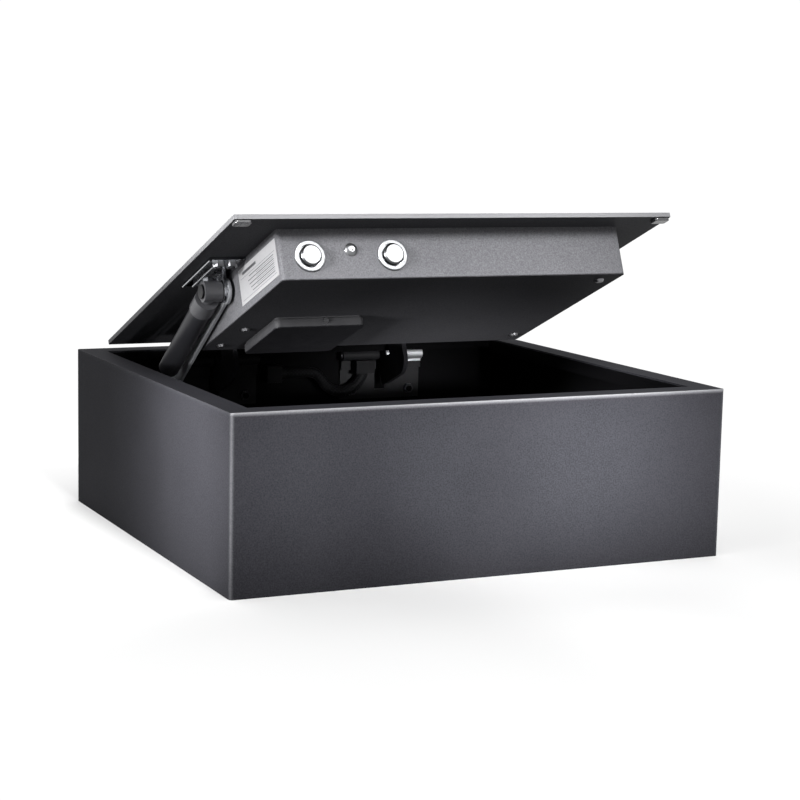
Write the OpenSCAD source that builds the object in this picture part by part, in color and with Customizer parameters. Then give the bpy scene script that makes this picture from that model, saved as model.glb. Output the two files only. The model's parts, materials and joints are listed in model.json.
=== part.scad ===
// Top-opening electronic safe for a drawer or shelf, drawn with its lid resting open.
// Origin at the bottom centre of the body, +X to the right, +Y to the back, +Z up.

/* [Body] */
// Width of the steel body, left to right
body_w = 400; // [380:5:440]
// Depth of the steel body, front to back
body_d = 370; // [360:5:400]
// Height of the steel body
body_h = 130; // [128:1:150]
// Thickness of the body's sheet steel
sheet_t = 2; // [1.5:0.1:2.2]
// Outside radius of the folded upright corners
corner_r = 2.5; // [2.5:0.5:5]
// Width of the folded rim along each side
rim_side_w = 19.5; // [18:0.5:21]
// Width of the folded rim along the front
rim_front_w = 20; // [18:0.5:21]
// Width of the folded rim along the back
rim_rear_w = 21.25; // [20.5:0.25:22]
// Depth of the lip that hangs from the front and side rims
lip_h = 12; // [9:0.5:12]
// Depth of the shorter lip at the back, which the hinge arms pass under
rear_lip_h = 8; // [6:0.5:8.5]
// Thickness of the felt mat on the floor
mat_t = 3; // [2:0.5:5]

/* [Floor mounting] */
// Diameter of each fixing hole through the floor
mount_d = 9; // [7:0.5:11]
// Distance between the fixing holes, left to right
mount_span_x = 300; // [260:5:320]
// Distance between the fixing holes, front to back
mount_span_y = 270; // [220:5:300]

/* [Lid] */
// Thickness of the lid plate
lid_t = 3.5; // [2.5:0.5:4]
// Height of the closed lid's top above the rim
lid_proud = 2.5; // [1.5:0.1:3]
// Gap between the closed lid and the rim at each side
lid_side_gap = 1.25; // [1:0.25:2.5]
// Gap between the closed lid and the rim at the front
lid_front_gap = 1.7; // [1.3:0.1:2.5]
// Gap between the closed lid and the rim at the back, which the swing needs
lid_rear_gap = 5.5; // [5:0.25:6.5]
// Angle at which the lid stands open
lid_angle = 22.4; // [20:0.1:23]

/* [Hinges] */
// Distance from the middle of the safe to each hinge arm
hinge_x = 79; // [70:1:90]
// Depth of the hinge axis below the top of the rim
hinge_drop = 13; // [12:0.5:14]
// Diameter of the hinge pins
pin_d = 6; // [4:0.5:6.5]
// Diameter of the hinge knuckles and of the arms' eyes
knuckle_d = 10; // [9:0.5:10.5]
// Length of each of the two knuckles on a bracket
knuckle_len = 36; // [24:1:38]
// Thickness of the hinge arms
arm_t = 4; // [3:0.5:5]
// Depth of the hinge arms below the lid
arm_depth = 40; // [36:1:42]

/* [Lock housing] */
// Distance from the lid's left edge to the lock housing
housing_left_margin = 39; // [37.5:0.5:46]
// Distance from the lid's right edge to the lock housing
housing_right_margin = 36; // [34.5:0.5:46]
// Depth of the lock housing, front to back
housing_d = 184.4; // [178:0.5:190]
// Height of the lock housing below the lid
housing_h = 38.5; // [38:0.1:42]
// Distance from the lid's front edge to the housing's front face
housing_setback = 22.2; // [20:0.2:25]
// Thickness of the housing's sheet steel
housing_t = 1.5; // [1:0.1:1.8]

/* [Locking bolts] */
// Diameter of the two locking bolts
bolt_d = 16; // [12:0.5:16.5]
// Distance between the two locking bolts
bolt_span = 65.2; // [60:0.2:70]
// Distance from the housing's left face to the middle of the bolt pair
bolt_inset = 55.8; // [54:0.2:60]
// Depth of the bolts' axes below the lid
bolt_drop = 20.8; // [20.5:0.1:21.5]
// Distance a withdrawn bolt stands out of the housing
bolt_rest = 5; // [4:0.5:7]
// Travel of the bolts when they lock
bolt_throw = 28; // [26:0.5:31]
// Outside diameter of the chrome collar round each bolt
collar_d = 23.6; // [21.5:0.1:26]
// Distance each collar stands out of the housing
collar_proud = 1.5; // [1:0.5:3.5]

/* [Bolt drive] */
// Module of the rack and pinion teeth
tooth_module = 1.5; // [1.4:0.05:1.6]
// Number of teeth on the pinion
pinion_teeth = 12; // [11:1:13]
// Width of the rack and pinion teeth
rack_h = 5.5; // [4:0.5:6]
// Diameter of the drive motor
motor_d = 20; // [16:0.5:20.5]
// Length of the drive motor
motor_len = 30; // [24:1:36]

/* [Battery compartment] */
// Width of the battery cover
cover_w = 73.5; // [72:0.5:76]
// Depth of the battery cover, front to back
cover_d = 74; // [70:0.5:78]
// Height the battery cover stands below the housing
cover_h = 8.7; // [8:0.1:10]
// Distance from the housing's left face to the cover
cover_inset_x = 29; // [27:0.5:32]
// Distance from the housing's front face to the cover
cover_inset_y = 93.3; // [92:0.1:96]
// Diameter of one battery
cell_d = 14.5; // [13.5:0.1:14.6]
// Length of one battery
cell_len = 50.5; // [48:0.5:51]

/* [Keypad] */
// Width of the keypad bezel
bezel_w = 84; // [82:1:96]
// Depth of the keypad bezel, front to back
bezel_d = 84; // [84:1:92]
// Height of the keypad bezel above the lid
bezel_h = 3; // [2.6:0.1:4]
// Distance from the lid's front edge to the keypad bezel
bezel_inset = 52; // [46:1:58]
// Width of one key
key_w = 15; // [12:0.5:16]
// Depth of one key, front to back
key_d = 10; // [8:0.5:10.5]
// Distance between neighbouring keys, left to right
key_pitch_x = 21; // [19:0.5:22]
// Distance between neighbouring keys, front to back
key_pitch_y = 13.5; // [13.3:0.1:14]
// Height of a key above the bezel
key_proud = 1.5; // [1.3:0.1:2.5]
// Travel of a key
key_travel = 1; // [0.6:0.1:1.1]

/* [Lid support] */
// Distance from the side of the body's opening to the middle of the gas strut
strut_inset = 24.5; // [23:0.5:25]
// Distance from the hinge axis forward to the strut's top pivot, lid closed
strut_reach = 215.5; // [205:0.5:225]
// Depth of the strut's top pivot below the lid
strut_drop = 14.5; // [13:0.5:15.5]
// Distance from the hinge axis forward to the strut's lower pivot
foot_reach = 49.2; // [45:0.5:55]
// Depth of the strut's lower pivot below the hinge axis
foot_drop = 28.6; // [26:0.5:31]
// Diameter of the strut's tube
tube_d = 16.5; // [15:0.5:17]
// Length of the strut's tube
tube_len = 106; // [95:1:110]
// Diameter of the strut's rod
rod_d = 8; // [6:0.5:8.5]
// Diameter of the studs that the strut turns on
stud_d = 8; // [6:0.5:8]
// Diameter of the strut's eyes
eye_d = 16; // [15:0.5:16.5]
// Width of the strut's eyes
eye_w = 14; // [12:0.5:14.5]
// Width of the flat stay arm
stay_w = 15.5; // [15.5:0.5:18]
// Thickness of the flat stay arm
stay_t = 2.5; // [2:0.1:2.7]

/* [Power lead] */
// Diameter of the power lead's sleeve
lead_d = 9.5; // [7:0.5:10]

/* [Hidden] */
$fn = 48;
BODY_NODES = ["body_shell", "floor_mat", "strike_plate", "hinge_bracket_left",
    "hinge_bracket_right", "hinge_pin_left", "hinge_pin_right", "strut_body_bracket",
    "strut_stud", "bracket_nuts", "power_lead", "lead_gland", "junction_block"];
LID_NODES = ["lid_plate", "corner_pads", "lock_housing", "housing_screws", "battery_cover",
    "battery_cover_screw", "battery_holder", "batteries", "circuit_board", "lock_motor",
    "gearbox", "bolt_guide", "bolt_collar_left", "bolt_collar_right", "sensor_bezel",
    "sensor_lens", "blank_label", "hinge_arm_left", "hinge_arm_right", "strut_lid_bracket",
    "strut_lid_pin", "lid_nuts", "keypad_bezel", "keypad_board", "display_window"];
MOVING_NODES = ["bolt_carriage", "lock_bolt_left", "lock_bolt_right", "drive_pinion",
    "strut_tube", "strut_top_eye", "strut_rod", "strut_lower_eye", "stay_arm"];
KEY_NODES = ["key_1", "key_2", "key_3", "key_4", "key_5", "key_6", "key_7", "key_8",
    "key_9", "key_clear", "key_0", "key_enter"];

// Fits and clearances
fit_gap = 0.05;       // between a shaft and the bore it turns or slides in
seat_gap = 0.3;       // between a piece and the seat it rests on
side_gap = 0.5;       // between pieces that pass each other
play = 1.5;           // round the stud where the strut's linkage is left open
eps = 0.01;           // overlap of joined shapes

// Body
wall_x = body_w / 2 - sheet_t;
wall_y = body_d / 2 - sheet_t;
opening_x = body_w / 2 - rim_side_w;
opening_front = -body_d / 2 + rim_front_w;
opening_rear = body_d / 2 - rim_rear_w;
rim_under = body_h - sheet_t;
mat_gap = 4;
mat_hole_margin = 7;
mat_corner_r = 3;
fold_r = 0.7;
stud_fix_d = 5;
stud_fix_len = 7;
fix_hole_r = stud_fix_d / 2 + 0.25;
weld_t = 0.5;
nut_r = 4.6;
nut_h = 3.5;

// Closed lid
lid_x = opening_x - lid_side_gap;
lid_front = opening_front + lid_front_gap;
lid_rear = opening_rear - lid_rear_gap;
lid_top = body_h + lid_proud;
lid_under = lid_top - lid_t;
lid_corner_r = 1.5;
pad_w = 12.5;
pad_d = 9;
pad_t = 2.5;
pad_in = 1;
seat_w = 15;
seat_d = 20;
seat_t = 2;

// Hinges
hinge_y = wall_y - side_gap - knuckle_d / 2;
hinge_z = body_h - hinge_drop;
knuckle_gap = 1;
knuckle_r = knuckle_d / 2;
bracket_t = 2.5;
bracket_low = 40;
bracket_rise = 5;
bracket_slot_half = 5;
bracket_screw_in = 8;
web_h = 13;
pin_head = 1.5;
pin_head_t = 2;
arm_front = 49;
arm_neck_top = 5;
arm_leg_rear = 21;
arm_nose_r = 14;
arm_heel_r = 6;
arm_foot_w = 22;
arm_foot_t = 3;
arm_screw_x = 13;
arm_screw_front = 6;
arm_screw_span = 15;

// Lock housing, lid closed
housing_left = -lid_x + housing_left_margin;
housing_right = lid_x - housing_right_margin;
housing_w = housing_right - housing_left;
housing_x = (housing_left + housing_right) / 2;
housing_front = lid_front + housing_setback;
housing_rear = housing_front + housing_d;
housing_low = lid_under - housing_h;
housing_floor = housing_low + housing_t;
housing_corner_r = 2.5;
post_r = 4;
post_bore_len = 14;
screw_r = 2;
screw_gap = 0.2;
screw_head_r = 3.8;
screw_head_h = 1.8;
screw_len = 10;
// Screw places from the housing's left, right, front and rear faces
post_side = 15;
post_side_rear = 12;
post_side_mid = 16.5;
post_front = 14.5;
post_mid = 126;
post_rear = 18;
post_rear_left = 14;

// Bolts
bolt_r = bolt_d / 2;
bolt_pair_x = housing_left + bolt_inset;
bolt_z = lid_under - bolt_drop;
bolt_tip = housing_front - bolt_rest;
guide_len = 20;
bolt_back = housing_front + housing_t + guide_len + bolt_throw + side_gap;
bolt_chamfer = 1.4;
collar_gap = 0.9;
collar_bore = bolt_r + collar_gap;
collar_neck_t = 0.6;
collar_neck = collar_bore + collar_neck_t;
guide_margin = 9;
guide_rise = 1.7;
strike_t = 3;
strike_gap = 0.8;
strike_depth = wall_y + opening_front - sheet_t;
strike_margin = 21;
strike_lower = 8;
strike_low = bolt_z - bolt_r - strike_lower;
strike_high = rim_under - 2;
strike_foot = 18;
strike_foot_half = 9;

// Bolt drive
pitch_r = tooth_module * pinion_teeth / 2;
tooth_add = 0.75 * tooth_module;
tooth_ded = 1.05 * tooth_module;
tooth_backlash = 0.4;
pressure_angle = 20;
bar_d = 8;
bar_margin = 10.5;
rack_rise = 4.8;
rack_z = bolt_z + rack_rise;
rack_offset = 1.7;
rack_pitch_x = bolt_pair_x - rack_offset;
pinion_x = rack_pitch_x + pitch_r;
pinion_gap = 2.5;
pinion_y = bolt_back + bar_d + pitch_r + pinion_gap;
rack_spare = 11;
rack_back = pinion_y + bolt_throw + rack_spare;
rack_body_w = 6;
shaft_r = 2;
shaft_sink = 8;
gearbox_w = 24;
gearbox_d = 26;
gearbox_gap = 1.5;
gearbox_back = 2;
gearbox_top = rack_z - gearbox_gap;
motor_z = housing_floor + motor_d / 2 + seat_gap;
motor_boss_len = 3;
motor_boss_r = 4;

// Battery compartment
cover_left = housing_left + cover_inset_x;
cover_front = housing_front + cover_inset_y;
cover_r = 4;
cover_wall = 1.5;
cover_neck_h = 2;
cover_neck_in = 1.5;
cover_screw_drop = 2.3;
cell_count = 4;
cell_gap = 0.4;
nub_r = 2.7;
nub_len = 1.2;
cell_pitch = cell_d + cell_gap;
holder_wall = 2;
holder_x = cover_left + cover_w / 2;
holder_y = cover_front + cover_d / 2;
holder_w = cell_count * cell_pitch + 2 * holder_wall;
holder_d = cell_len + 2 * cell_gap + 2 * holder_wall;
holder_room = 1;
holder_h = cell_d + holder_wall + holder_room;
holder_r = 2;
hatch_inset = 2;
cover_lip_h = cover_h - cover_neck_h;
cover_inner = cover_neck_in + cover_wall;
cover_neck_w = cover_w - 2 * cover_neck_in;
cover_neck_d = cover_d - 2 * cover_neck_in;
cover_screw_z = cover_lip_h - cover_screw_drop;
cover_screw_x = 4;
cover_screw_r = 1.15;
cover_screw_head_r = 2.1;
cover_screw_head_h = 1.4;
cover_screw_len = 4.5;

// Circuit board
board_w = 100;
board_inset = 20;
board_setback = 100;
board_d = 78;
board_t = 1.6;
board_x = housing_right - board_inset - board_w / 2;
board_y = housing_front + board_setback;
board_rise = 8;
board_z = housing_floor + board_rise;
board_peg_r = 2.5;
board_peg_in = 6;
chip_w = 22;
chip_h = 3;
chip_x = -20;
relay_w = 16;
relay_h = 12;
relay_x = 20;
relay_y = 18;
capacitor_r = 5;
capacitor_h = 12;
capacitor_x = 40;
capacitor_front = -22;
capacitor_pitch = 14;

// Keypad, lid closed
bezel_front = lid_front + bezel_inset;
bezel_y = bezel_front + bezel_d / 2;
bezel_wall = 2;
bezel_rebate = 4;
bezel_sink = 12;
bezel_face_t = 1.8;
bezel_r = 4;
bezel_top = lid_top + bezel_h;
key_columns = 3;
key_rows = 4;
key_gap = 0.35;
key_skirt = 1.2;
key_skirt_t = 1;
key_r = 2;
key_margin = 13;
display_w = 60;
display_d = 12.5;
display_t = 2;
display_sink = 0.2;
display_margin = 14.5;
display_y = bezel_front + bezel_d - display_margin;
keypad_board_t = 1.6;
keypad_board_z = bezel_top - bezel_face_t - key_skirt_t - key_travel - side_gap - keypad_board_t;

// Sensor between the bolts
sensor_x = bolt_pair_x + 0.5;
sensor_drop = 16.2;
sensor_r = 5;
sensor_hole_r = 3;
sensor_h = 2.6;
sensor_room = 6;
sensor_dome_r = 6.5;
lens_r = 2;
lens_t = 0.8;
lens_sink = 1.2;

// Label on the housing's left face
label_front = 4.3;
label_len = 78;
label_drop = 5.5;
label_h = 27.5;
label_t = 0.4;

// Lid support, lid closed and then swung open
strut_x = opening_x - strut_inset;
top_closed = [hinge_y - strut_reach, lid_under - strut_drop];
foot = [hinge_y - foot_reach, hinge_z - foot_drop];
function swing(p) = [
    hinge_y + (p.x - hinge_y) * cos(lid_angle) + (p.y - hinge_z) * sin(lid_angle),
    hinge_z - (p.x - hinge_y) * sin(lid_angle) + (p.y - hinge_z) * cos(lid_angle)];
top_open = swing(top_closed);
open_len = norm(foot - top_open);
closed_len = norm(foot - top_closed);
strut_tilt = atan2(foot.y - top_open.y, foot.x - top_open.x);
eye_left = -strut_x - eye_w / 2;
eye_right = -strut_x + eye_w / 2;
ear_t = 2.5;
ear_r = 9;
mount_plate_t = 2.5;
mount_plate_front = 40;
mount_plate_rear = 25;
mount_plate_over = 5.5;
mount_plate_left = eye_left - mount_plate_over;
mount_plate_right = housing_left - seat_gap;
rail_r = 1.2;
rib_in = 8;
rib_front = 16;
plate_screw_left = 3.9;
plate_screw_right = 6;
plate_screw_front = 33;
plate_screw_rear = 18;
stay_gap = 0.5;
stay_left = eye_right + side_gap + ear_t + stay_gap;
stay_right = stay_left + stay_t;
clip_t = 1.3;
pin_clip_r = 5.5;
clip_r = 6.5;
stud_head_t = 4;
eye_neck_r = 5.5;
cup_r = 9.4;
cup_start = 11;
cup_len = 16;
tube_start = 15;
tube_wall = 1.6;
tube_end_t = 3;
tube_end = tube_start + tube_len;
guide_plug = 12;
piston_len = 8;
piston_room = 2;
rod_start = tube_end - guide_plug - piston_len - piston_room;
foot_neck_len = 12;
foot_socket = 8;
foot_plate_t = 3;
foot_plate_right = eye_left - side_gap;
foot_plate_w = 36;
foot_plate_h = 30;
foot_flange = 12;
stay_head_r = 10;
stay_lip = 2;
stay_end = open_len + stay_w / 2 + stay_lip;

// Power lead, in the plane that it hangs in
lead_r = lead_d / 2;
lead_gap = 11.5;
lead_y = wall_y - lead_gap;
lead_below = 12.5;
lead_z = hinge_z - lead_below;
lead_beside = 74;
lead_turn_x = hinge_x - lead_beside;
lead_straight = 23;
lead_from = lead_turn_x - lead_straight;
lead_drop_r = 15;
lead_drop_angle = 60;
lead_loop_r = 22;
lead_loop_angle = 135;
gland_w = 18;
gland_h = 15;
gland_nose = 4;
gland_nose_r = 6.7;
block_w = 18;
block_h = 11;
block_front = 6.5;
block_skirt = 0.6;

// Shapes and frames
module rounded_rect(w, d, r) {
    square([w - 2 * r, d], center = true);
    square([w, d - 2 * r], center = true);
    for (x = [-1, 1], y = [-1, 1])
        translate([x * (w / 2 - r), y * (d / 2 - r)]) circle(r);
}

module block(low, high) {
    translate(low) cube(high - low);
}

module rod_x(x0, x1, r) {
    translate([x0, 0, 0]) rotate([0, 90, 0]) cylinder(h = x1 - x0, r = r);
}

module rod_y(y0, y1, r) {
    translate([0, y0, 0]) rotate([-90, 0, 0]) cylinder(h = y1 - y0, r = r);
}

// Extrudes a side view, drawn in Y and Z, from x0 to x1
module side_plate(x0, x1) {
    translate([x0, 0, 0]) rotate([90, 0, 90]) linear_extrude(x1 - x0) children();
}

// Pieces of the lid are drawn where they lie with the lid shut, and swung open here
module open_lid() {
    translate([0, hinge_y, hinge_z]) rotate([-lid_angle, 0, 0])
        translate([0, -hinge_y, -hinge_z]) children();
}

// Z runs from the strut's top pivot towards its lower pivot
module along_strut() {
    translate([0, top_open.x, top_open.y]) rotate([strut_tilt - 90, 0, 0]) children();
}

// Welded studs: their places, and the way each one points
strike_foot_x = bolt_span / 2 + strike_margin + strike_foot / 2;
front_studs = [for (s = [-1, 1]) [bolt_pair_x + s * strike_foot_x, -wall_y, bolt_z]];
back_studs = [for (s = [-1, 1], t = [-1, 1])
    [s * hinge_x + t * (knuckle_len - bracket_screw_in), wall_y, hinge_z - bracket_low + bracket_screw_in]];
side_studs = [for (s = [-1, 1])
    [-wall_x, foot.x + s * (foot_plate_w + foot_flange) / 2, foot.y]];
arm_feet = [for (s = [-1, 1], t = [0, 1])
    [s * (hinge_x + arm_screw_x), hinge_y - arm_front + arm_screw_front + t * arm_screw_span, lid_under]];
plate_feet = [for (p = [[-plate_screw_left, -plate_screw_front], [plate_screw_right, -plate_screw_front],
        [plate_screw_right, plate_screw_rear]])
    [-strut_x + p.x, top_closed.x + p.y, lid_under]];

module fix_stud(r, len) {
    translate([0, 0, -weld_t]) cylinder(h = len + weld_t, r = r);
}

module each_body_stud() {
    for (p = front_studs) translate(p) rotate([-90, 0, 0]) children();
    for (p = back_studs) translate(p) rotate([90, 0, 0]) children();
    for (p = side_studs) translate(p) rotate([0, 90, 0]) children();
}

module each_lid_stud() {
    for (p = concat(arm_feet, plate_feet)) translate(p) rotate([180, 0, 0]) children();
}

module nut(seat) {
    difference() {
        translate([0, 0, seat]) cylinder(h = nut_h, r = nut_r, $fn = 6);
        translate([0, 0, seat - 1]) cylinder(h = nut_h + 2, r = stud_fix_d / 2 + fit_gap);
    }
}

// Body
module mount_holes(r) {
    for (x = [-1, 1], y = [-1, 1])
        translate([x * mount_span_x / 2, y * mount_span_y / 2, -1])
            cylinder(h = sheet_t + mat_t + 3, r = r);
}

module body_shell() {
    lip_x = opening_x + sheet_t;
    color([0.19, 0.19, 0.21]) {
        difference() {
            linear_extrude(body_h) rounded_rect(body_w, body_d, corner_r);
            translate([0, 0, sheet_t]) linear_extrude(body_h - 2 * sheet_t)
                rounded_rect(2 * wall_x, 2 * wall_y, fold_r);
            block([-opening_x, opening_front, rim_under - 1], [opening_x, opening_rear, body_h + 1]);
            mount_holes(mount_d / 2);
        }
        difference() {
            block([-lip_x, opening_front - sheet_t, body_h - lip_h],
                [lip_x, opening_rear + sheet_t, rim_under + eps]);
            block([-opening_x, opening_front, 0], [opening_x, opening_rear, body_h + 1]);
            block([-lip_x - 1, opening_rear - 1, 0],
                [lip_x + 1, opening_rear + sheet_t + 1, body_h - rear_lip_h]);
        }
        for (s = [-1, 1]) corner_seat(s);
        each_body_stud() fix_stud(stud_fix_d / 2, stud_fix_len);
    }
}

module corner_seat(s) {
    top = lid_under - pad_t - seat_gap;
    inner = opening_x - seat_w;
    x0 = s < 0 ? -opening_x - eps : inner;
    x1 = s < 0 ? -inner : opening_x + eps;
    block([x0, opening_front - eps, top - seat_t], [x1, opening_front + seat_d, top]);
}

module floor_mat() {
    color([0.10, 0.10, 0.11]) difference() {
        translate([0, 0, sheet_t]) linear_extrude(mat_t)
            rounded_rect(2 * (wall_x - mat_gap), 2 * (wall_y - mat_gap), mat_corner_r);
        mount_holes(mount_d / 2 + mat_hole_margin);
    }
}

// Channel behind the front rim that the locking bolts shoot into
module strike_plate() {
    half = bolt_span / 2 + strike_margin;
    face = -wall_y + strike_depth;
    color([0.55, 0.56, 0.58]) translate([bolt_pair_x, 0, 0]) difference() {
        union() {
            block([-half, face - strike_t, strike_low], [half, face, strike_high]);
            for (s = [-1, 1]) {
                x0 = s < 0 ? -half : half - strike_t;
                f0 = s < 0 ? -half - strike_foot : half - eps;
                block([x0, -wall_y, strike_low], [x0 + strike_t, face - eps, strike_high]);
                block([f0, -wall_y, bolt_z - strike_foot_half],
                    [f0 + strike_foot + eps, -wall_y + strike_t, bolt_z + strike_foot_half]);
            }
        }
        for (s = [-1, 1]) {
            translate([s * bolt_span / 2, 0, bolt_z])
                rod_y(face - strike_t - 1, face + 1, bolt_r + strike_gap);
            translate([s * strike_foot_x, 0, bolt_z])
                rod_y(-wall_y - 1, -wall_y + strike_t + 1, fix_hole_r);
        }
    }
}

// Wall plate with two knuckles and a slot that the lid's arm swings in
module hinge_bracket(s) {
    half = knuckle_len + arm_t / 2 + knuckle_gap;
    inner = arm_t / 2 + knuckle_gap;
    low = hinge_z - bracket_low;
    color([0.62, 0.63, 0.65]) translate([s * hinge_x, 0, 0]) difference() {
        union() {
            difference() {
                block([-half, wall_y - bracket_t, low], [half, wall_y, hinge_z - bracket_rise]);
                block([-bracket_slot_half, 0, low + bracket_screw_in], [bracket_slot_half, body_d, hinge_z]);
            }
            for (t = [-1, 1]) {
                x0 = t < 0 ? -half : inner;
                x1 = x0 + knuckle_len;
                translate([0, hinge_y, hinge_z]) rod_x(x0, x1, knuckle_d / 2);
                block([t < 0 ? x0 : x0 + bracket_slot_half - inner, hinge_y, hinge_z - web_h],
                    [t < 0 ? x1 - bracket_slot_half + inner : x1, wall_y, hinge_z]);
            }
        }
        translate([0, hinge_y, hinge_z]) rod_x(-half - 1, half + 1, pin_d / 2 + fit_gap);
        for (t = [-1, 1])
            translate([t * (knuckle_len - bracket_screw_in), 0, low + bracket_screw_in])
                rod_y(wall_y - bracket_t - 1, wall_y + 1, fix_hole_r);
    }
}

module hinge_bracket_left() {
    hinge_bracket(-1);
}

module hinge_bracket_right() {
    hinge_bracket(1);
}

module hinge_pin(s) {
    half = knuckle_len + arm_t / 2 + knuckle_gap;
    color([0.75, 0.76, 0.78]) translate([s * hinge_x, hinge_y, hinge_z]) {
        rod_x(-half - 1, half + 1, pin_d / 2);
        rod_x(-half - side_gap - pin_head_t, -half - side_gap, pin_d / 2 + pin_head);
    }
}

module hinge_pin_left() {
    hinge_pin(-1);
}

module hinge_pin_right() {
    hinge_pin(1);
}

// Hat-shaped bracket on the left wall that carries the strut's lower stud
module strut_body_bracket() {
    x1 = foot_plate_right;
    y0 = foot.x - foot_plate_w / 2;
    y1 = foot.x + foot_plate_w / 2;
    z0 = foot.y - foot_plate_h / 2;
    z1 = foot.y + foot_plate_h / 2;
    color([0.20, 0.20, 0.22]) difference() {
        union() {
            block([x1 - foot_plate_t, y0, z0], [x1, y1, z1]);
            for (side = [[y0, y0 + foot_plate_t], [y1 - foot_plate_t, y1]])
                block([-wall_x, side[0], z0], [x1 - foot_plate_t + eps, side[1], z1]);
            for (side = [[y0 - foot_flange, y0 + eps], [y1 - eps, y1 + foot_flange]])
                block([-wall_x, side[0], z0], [-wall_x + foot_plate_t, side[1], z1]);
        }
        translate([0, foot.x, foot.y])
            rod_x(x1 - foot_plate_t - 1, x1 + 1, stud_d / 2 + fit_gap);
        for (p = side_studs)
            translate(p) rod_x(-1, foot_plate_t + 1, fix_hole_r);
    }
}

module strut_stud() {
    x1 = foot_plate_right;
    color([0.75, 0.76, 0.78]) translate([0, foot.x, foot.y]) {
        rod_x(x1 - foot_plate_t - eps, stay_right + side_gap + eps, stud_d / 2);
        rod_x(x1 - foot_plate_t - stud_head_t, x1 - foot_plate_t, clip_r);
        rod_x(stay_right + side_gap, stay_right + side_gap + clip_t, clip_r);
    }
}

module bracket_nuts() {
    color([0.70, 0.71, 0.73]) {
        for (p = front_studs) translate(p) rotate([-90, 0, 0]) nut(strike_t);
        for (p = back_studs) translate(p) rotate([90, 0, 0]) nut(bracket_t);
        for (p = side_studs) translate(p) rotate([0, 90, 0]) nut(foot_plate_t);
    }
}

// Power lead: along the back wall, down in a loop and up to the hinge
drop_centre = [lead_turn_x, lead_z - lead_drop_r];
drop_end = drop_centre + lead_drop_r * [sin(lead_drop_angle), cos(lead_drop_angle)];
loop_centre = drop_end + lead_loop_r * [sin(lead_drop_angle), cos(lead_drop_angle)];
rise_angle = lead_loop_angle - lead_drop_angle;
rise_start = loop_centre + lead_loop_r * [sin(rise_angle), -cos(rise_angle)];

// The lead's middle line as [x, z, heading]: a straight, a bend down and the loop
lead_steps = 5;
lead_sides = 12;
lead_route = concat([[lead_from, lead_z, 0]],
    [for (k = [0 : lead_steps]) let (a = lead_drop_angle * k / lead_steps)
        [drop_centre.x + lead_drop_r * sin(a), drop_centre.y + lead_drop_r * cos(a), -a]],
    [for (k = [1 : 3 * lead_steps]) let (a = lead_loop_angle * k / (3 * lead_steps) - lead_drop_angle)
        [loop_centre.x + lead_loop_r * sin(a), loop_centre.y - lead_loop_r * cos(a), a]]);

module power_lead() {
    n = len(lead_route);
    points = [for (p = lead_route, j = [0 : lead_sides - 1]) let (t = j * 360 / lead_sides)
        [p.x - lead_r * sin(t) * sin(p.z), lead_y - lead_r * cos(t), p.y + lead_r * sin(t) * cos(p.z)]];
    walls = [for (i = [0 : n - 2], j = [0 : lead_sides - 1]) let (m = (j + 1) % lead_sides)
        [i * lead_sides + j, i * lead_sides + m, (i + 1) * lead_sides + m, (i + 1) * lead_sides + j]];
    caps = [[for (j = [lead_sides - 1 : -1 : 0]) j],
        [for (j = [0 : lead_sides - 1]) (n - 1) * lead_sides + j]];
    color([0.03, 0.03, 0.03]) polyhedron(points, concat(walls, caps));
}

module lead_gland() {
    low = lead_z - gland_h / 2;
    color([0.05, 0.05, 0.05]) {
        block([lead_from - gland_w, lead_y - gland_h / 2, low],
            [lead_from - gland_nose, wall_y, low + gland_h]);
        translate([0, lead_y, lead_z]) rod_x(lead_from - gland_nose - 1, lead_from, gland_nose_r);
    }
}

// Small box where the lead's wires pass on into the hinge
module junction_block() {
    color([0.06, 0.06, 0.06])
        translate([rise_start.x, 0, rise_start.y]) difference() {
            block([-block_w / 2, lead_y - block_front, -block_skirt], [block_w / 2, hinge_y, block_h]);
            block([-block_w, hinge_y - knuckle_r - side_gap, hinge_z - knuckle_r - side_gap - rise_start.y],
                [block_w, body_d, block_h + 1]);
            translate([0, lead_y, -1.5]) cylinder(h = 3, r = lead_r + side_gap);
        }
}

// Lid
module posts() {
    for (p = screw_places) translate([p.x, p.y, housing_floor]) difference() {
        cylinder(h = lid_under - housing_floor + eps, r = post_r);
        translate([0, 0, -1]) cylinder(h = post_bore_len, r = screw_r + fit_gap);
    }
}

screw_places = [
    [housing_right - post_side, housing_front + post_front],
    [housing_right - post_side_rear, housing_rear - post_rear],
    [housing_left + post_side_mid, housing_front + post_mid],
    [housing_left + post_side_rear, housing_rear - post_rear_left]];

module lid_plate() {
    window_w = bezel_w - 2 * bezel_rebate + 2 * seat_gap;
    window_d = bezel_d - 2 * bezel_rebate + 2 * seat_gap;
    color([0.21, 0.21, 0.23]) open_lid() {
        difference() {
            translate([0, (lid_front + lid_rear) / 2, lid_under]) linear_extrude(lid_t)
                rounded_rect(2 * lid_x, lid_rear - lid_front, lid_corner_r);
            translate([0, bezel_y, lid_under - 1]) linear_extrude(lid_t + 2)
                rounded_rect(window_w, window_d, bezel_r);
        }
        posts();
        each_lid_stud() fix_stud(stud_fix_d / 2, stud_fix_len);
    }
}

module corner_pads() {
    color([0.55, 0.55, 0.56]) open_lid()
        for (s = [-1, 1])
            translate([s * (lid_x - pad_w / 2 - pad_in), lid_front + pad_d / 2 + pad_in, lid_under - pad_t])
                linear_extrude(pad_t) rounded_rect(pad_w, pad_d, 2);
}

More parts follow.
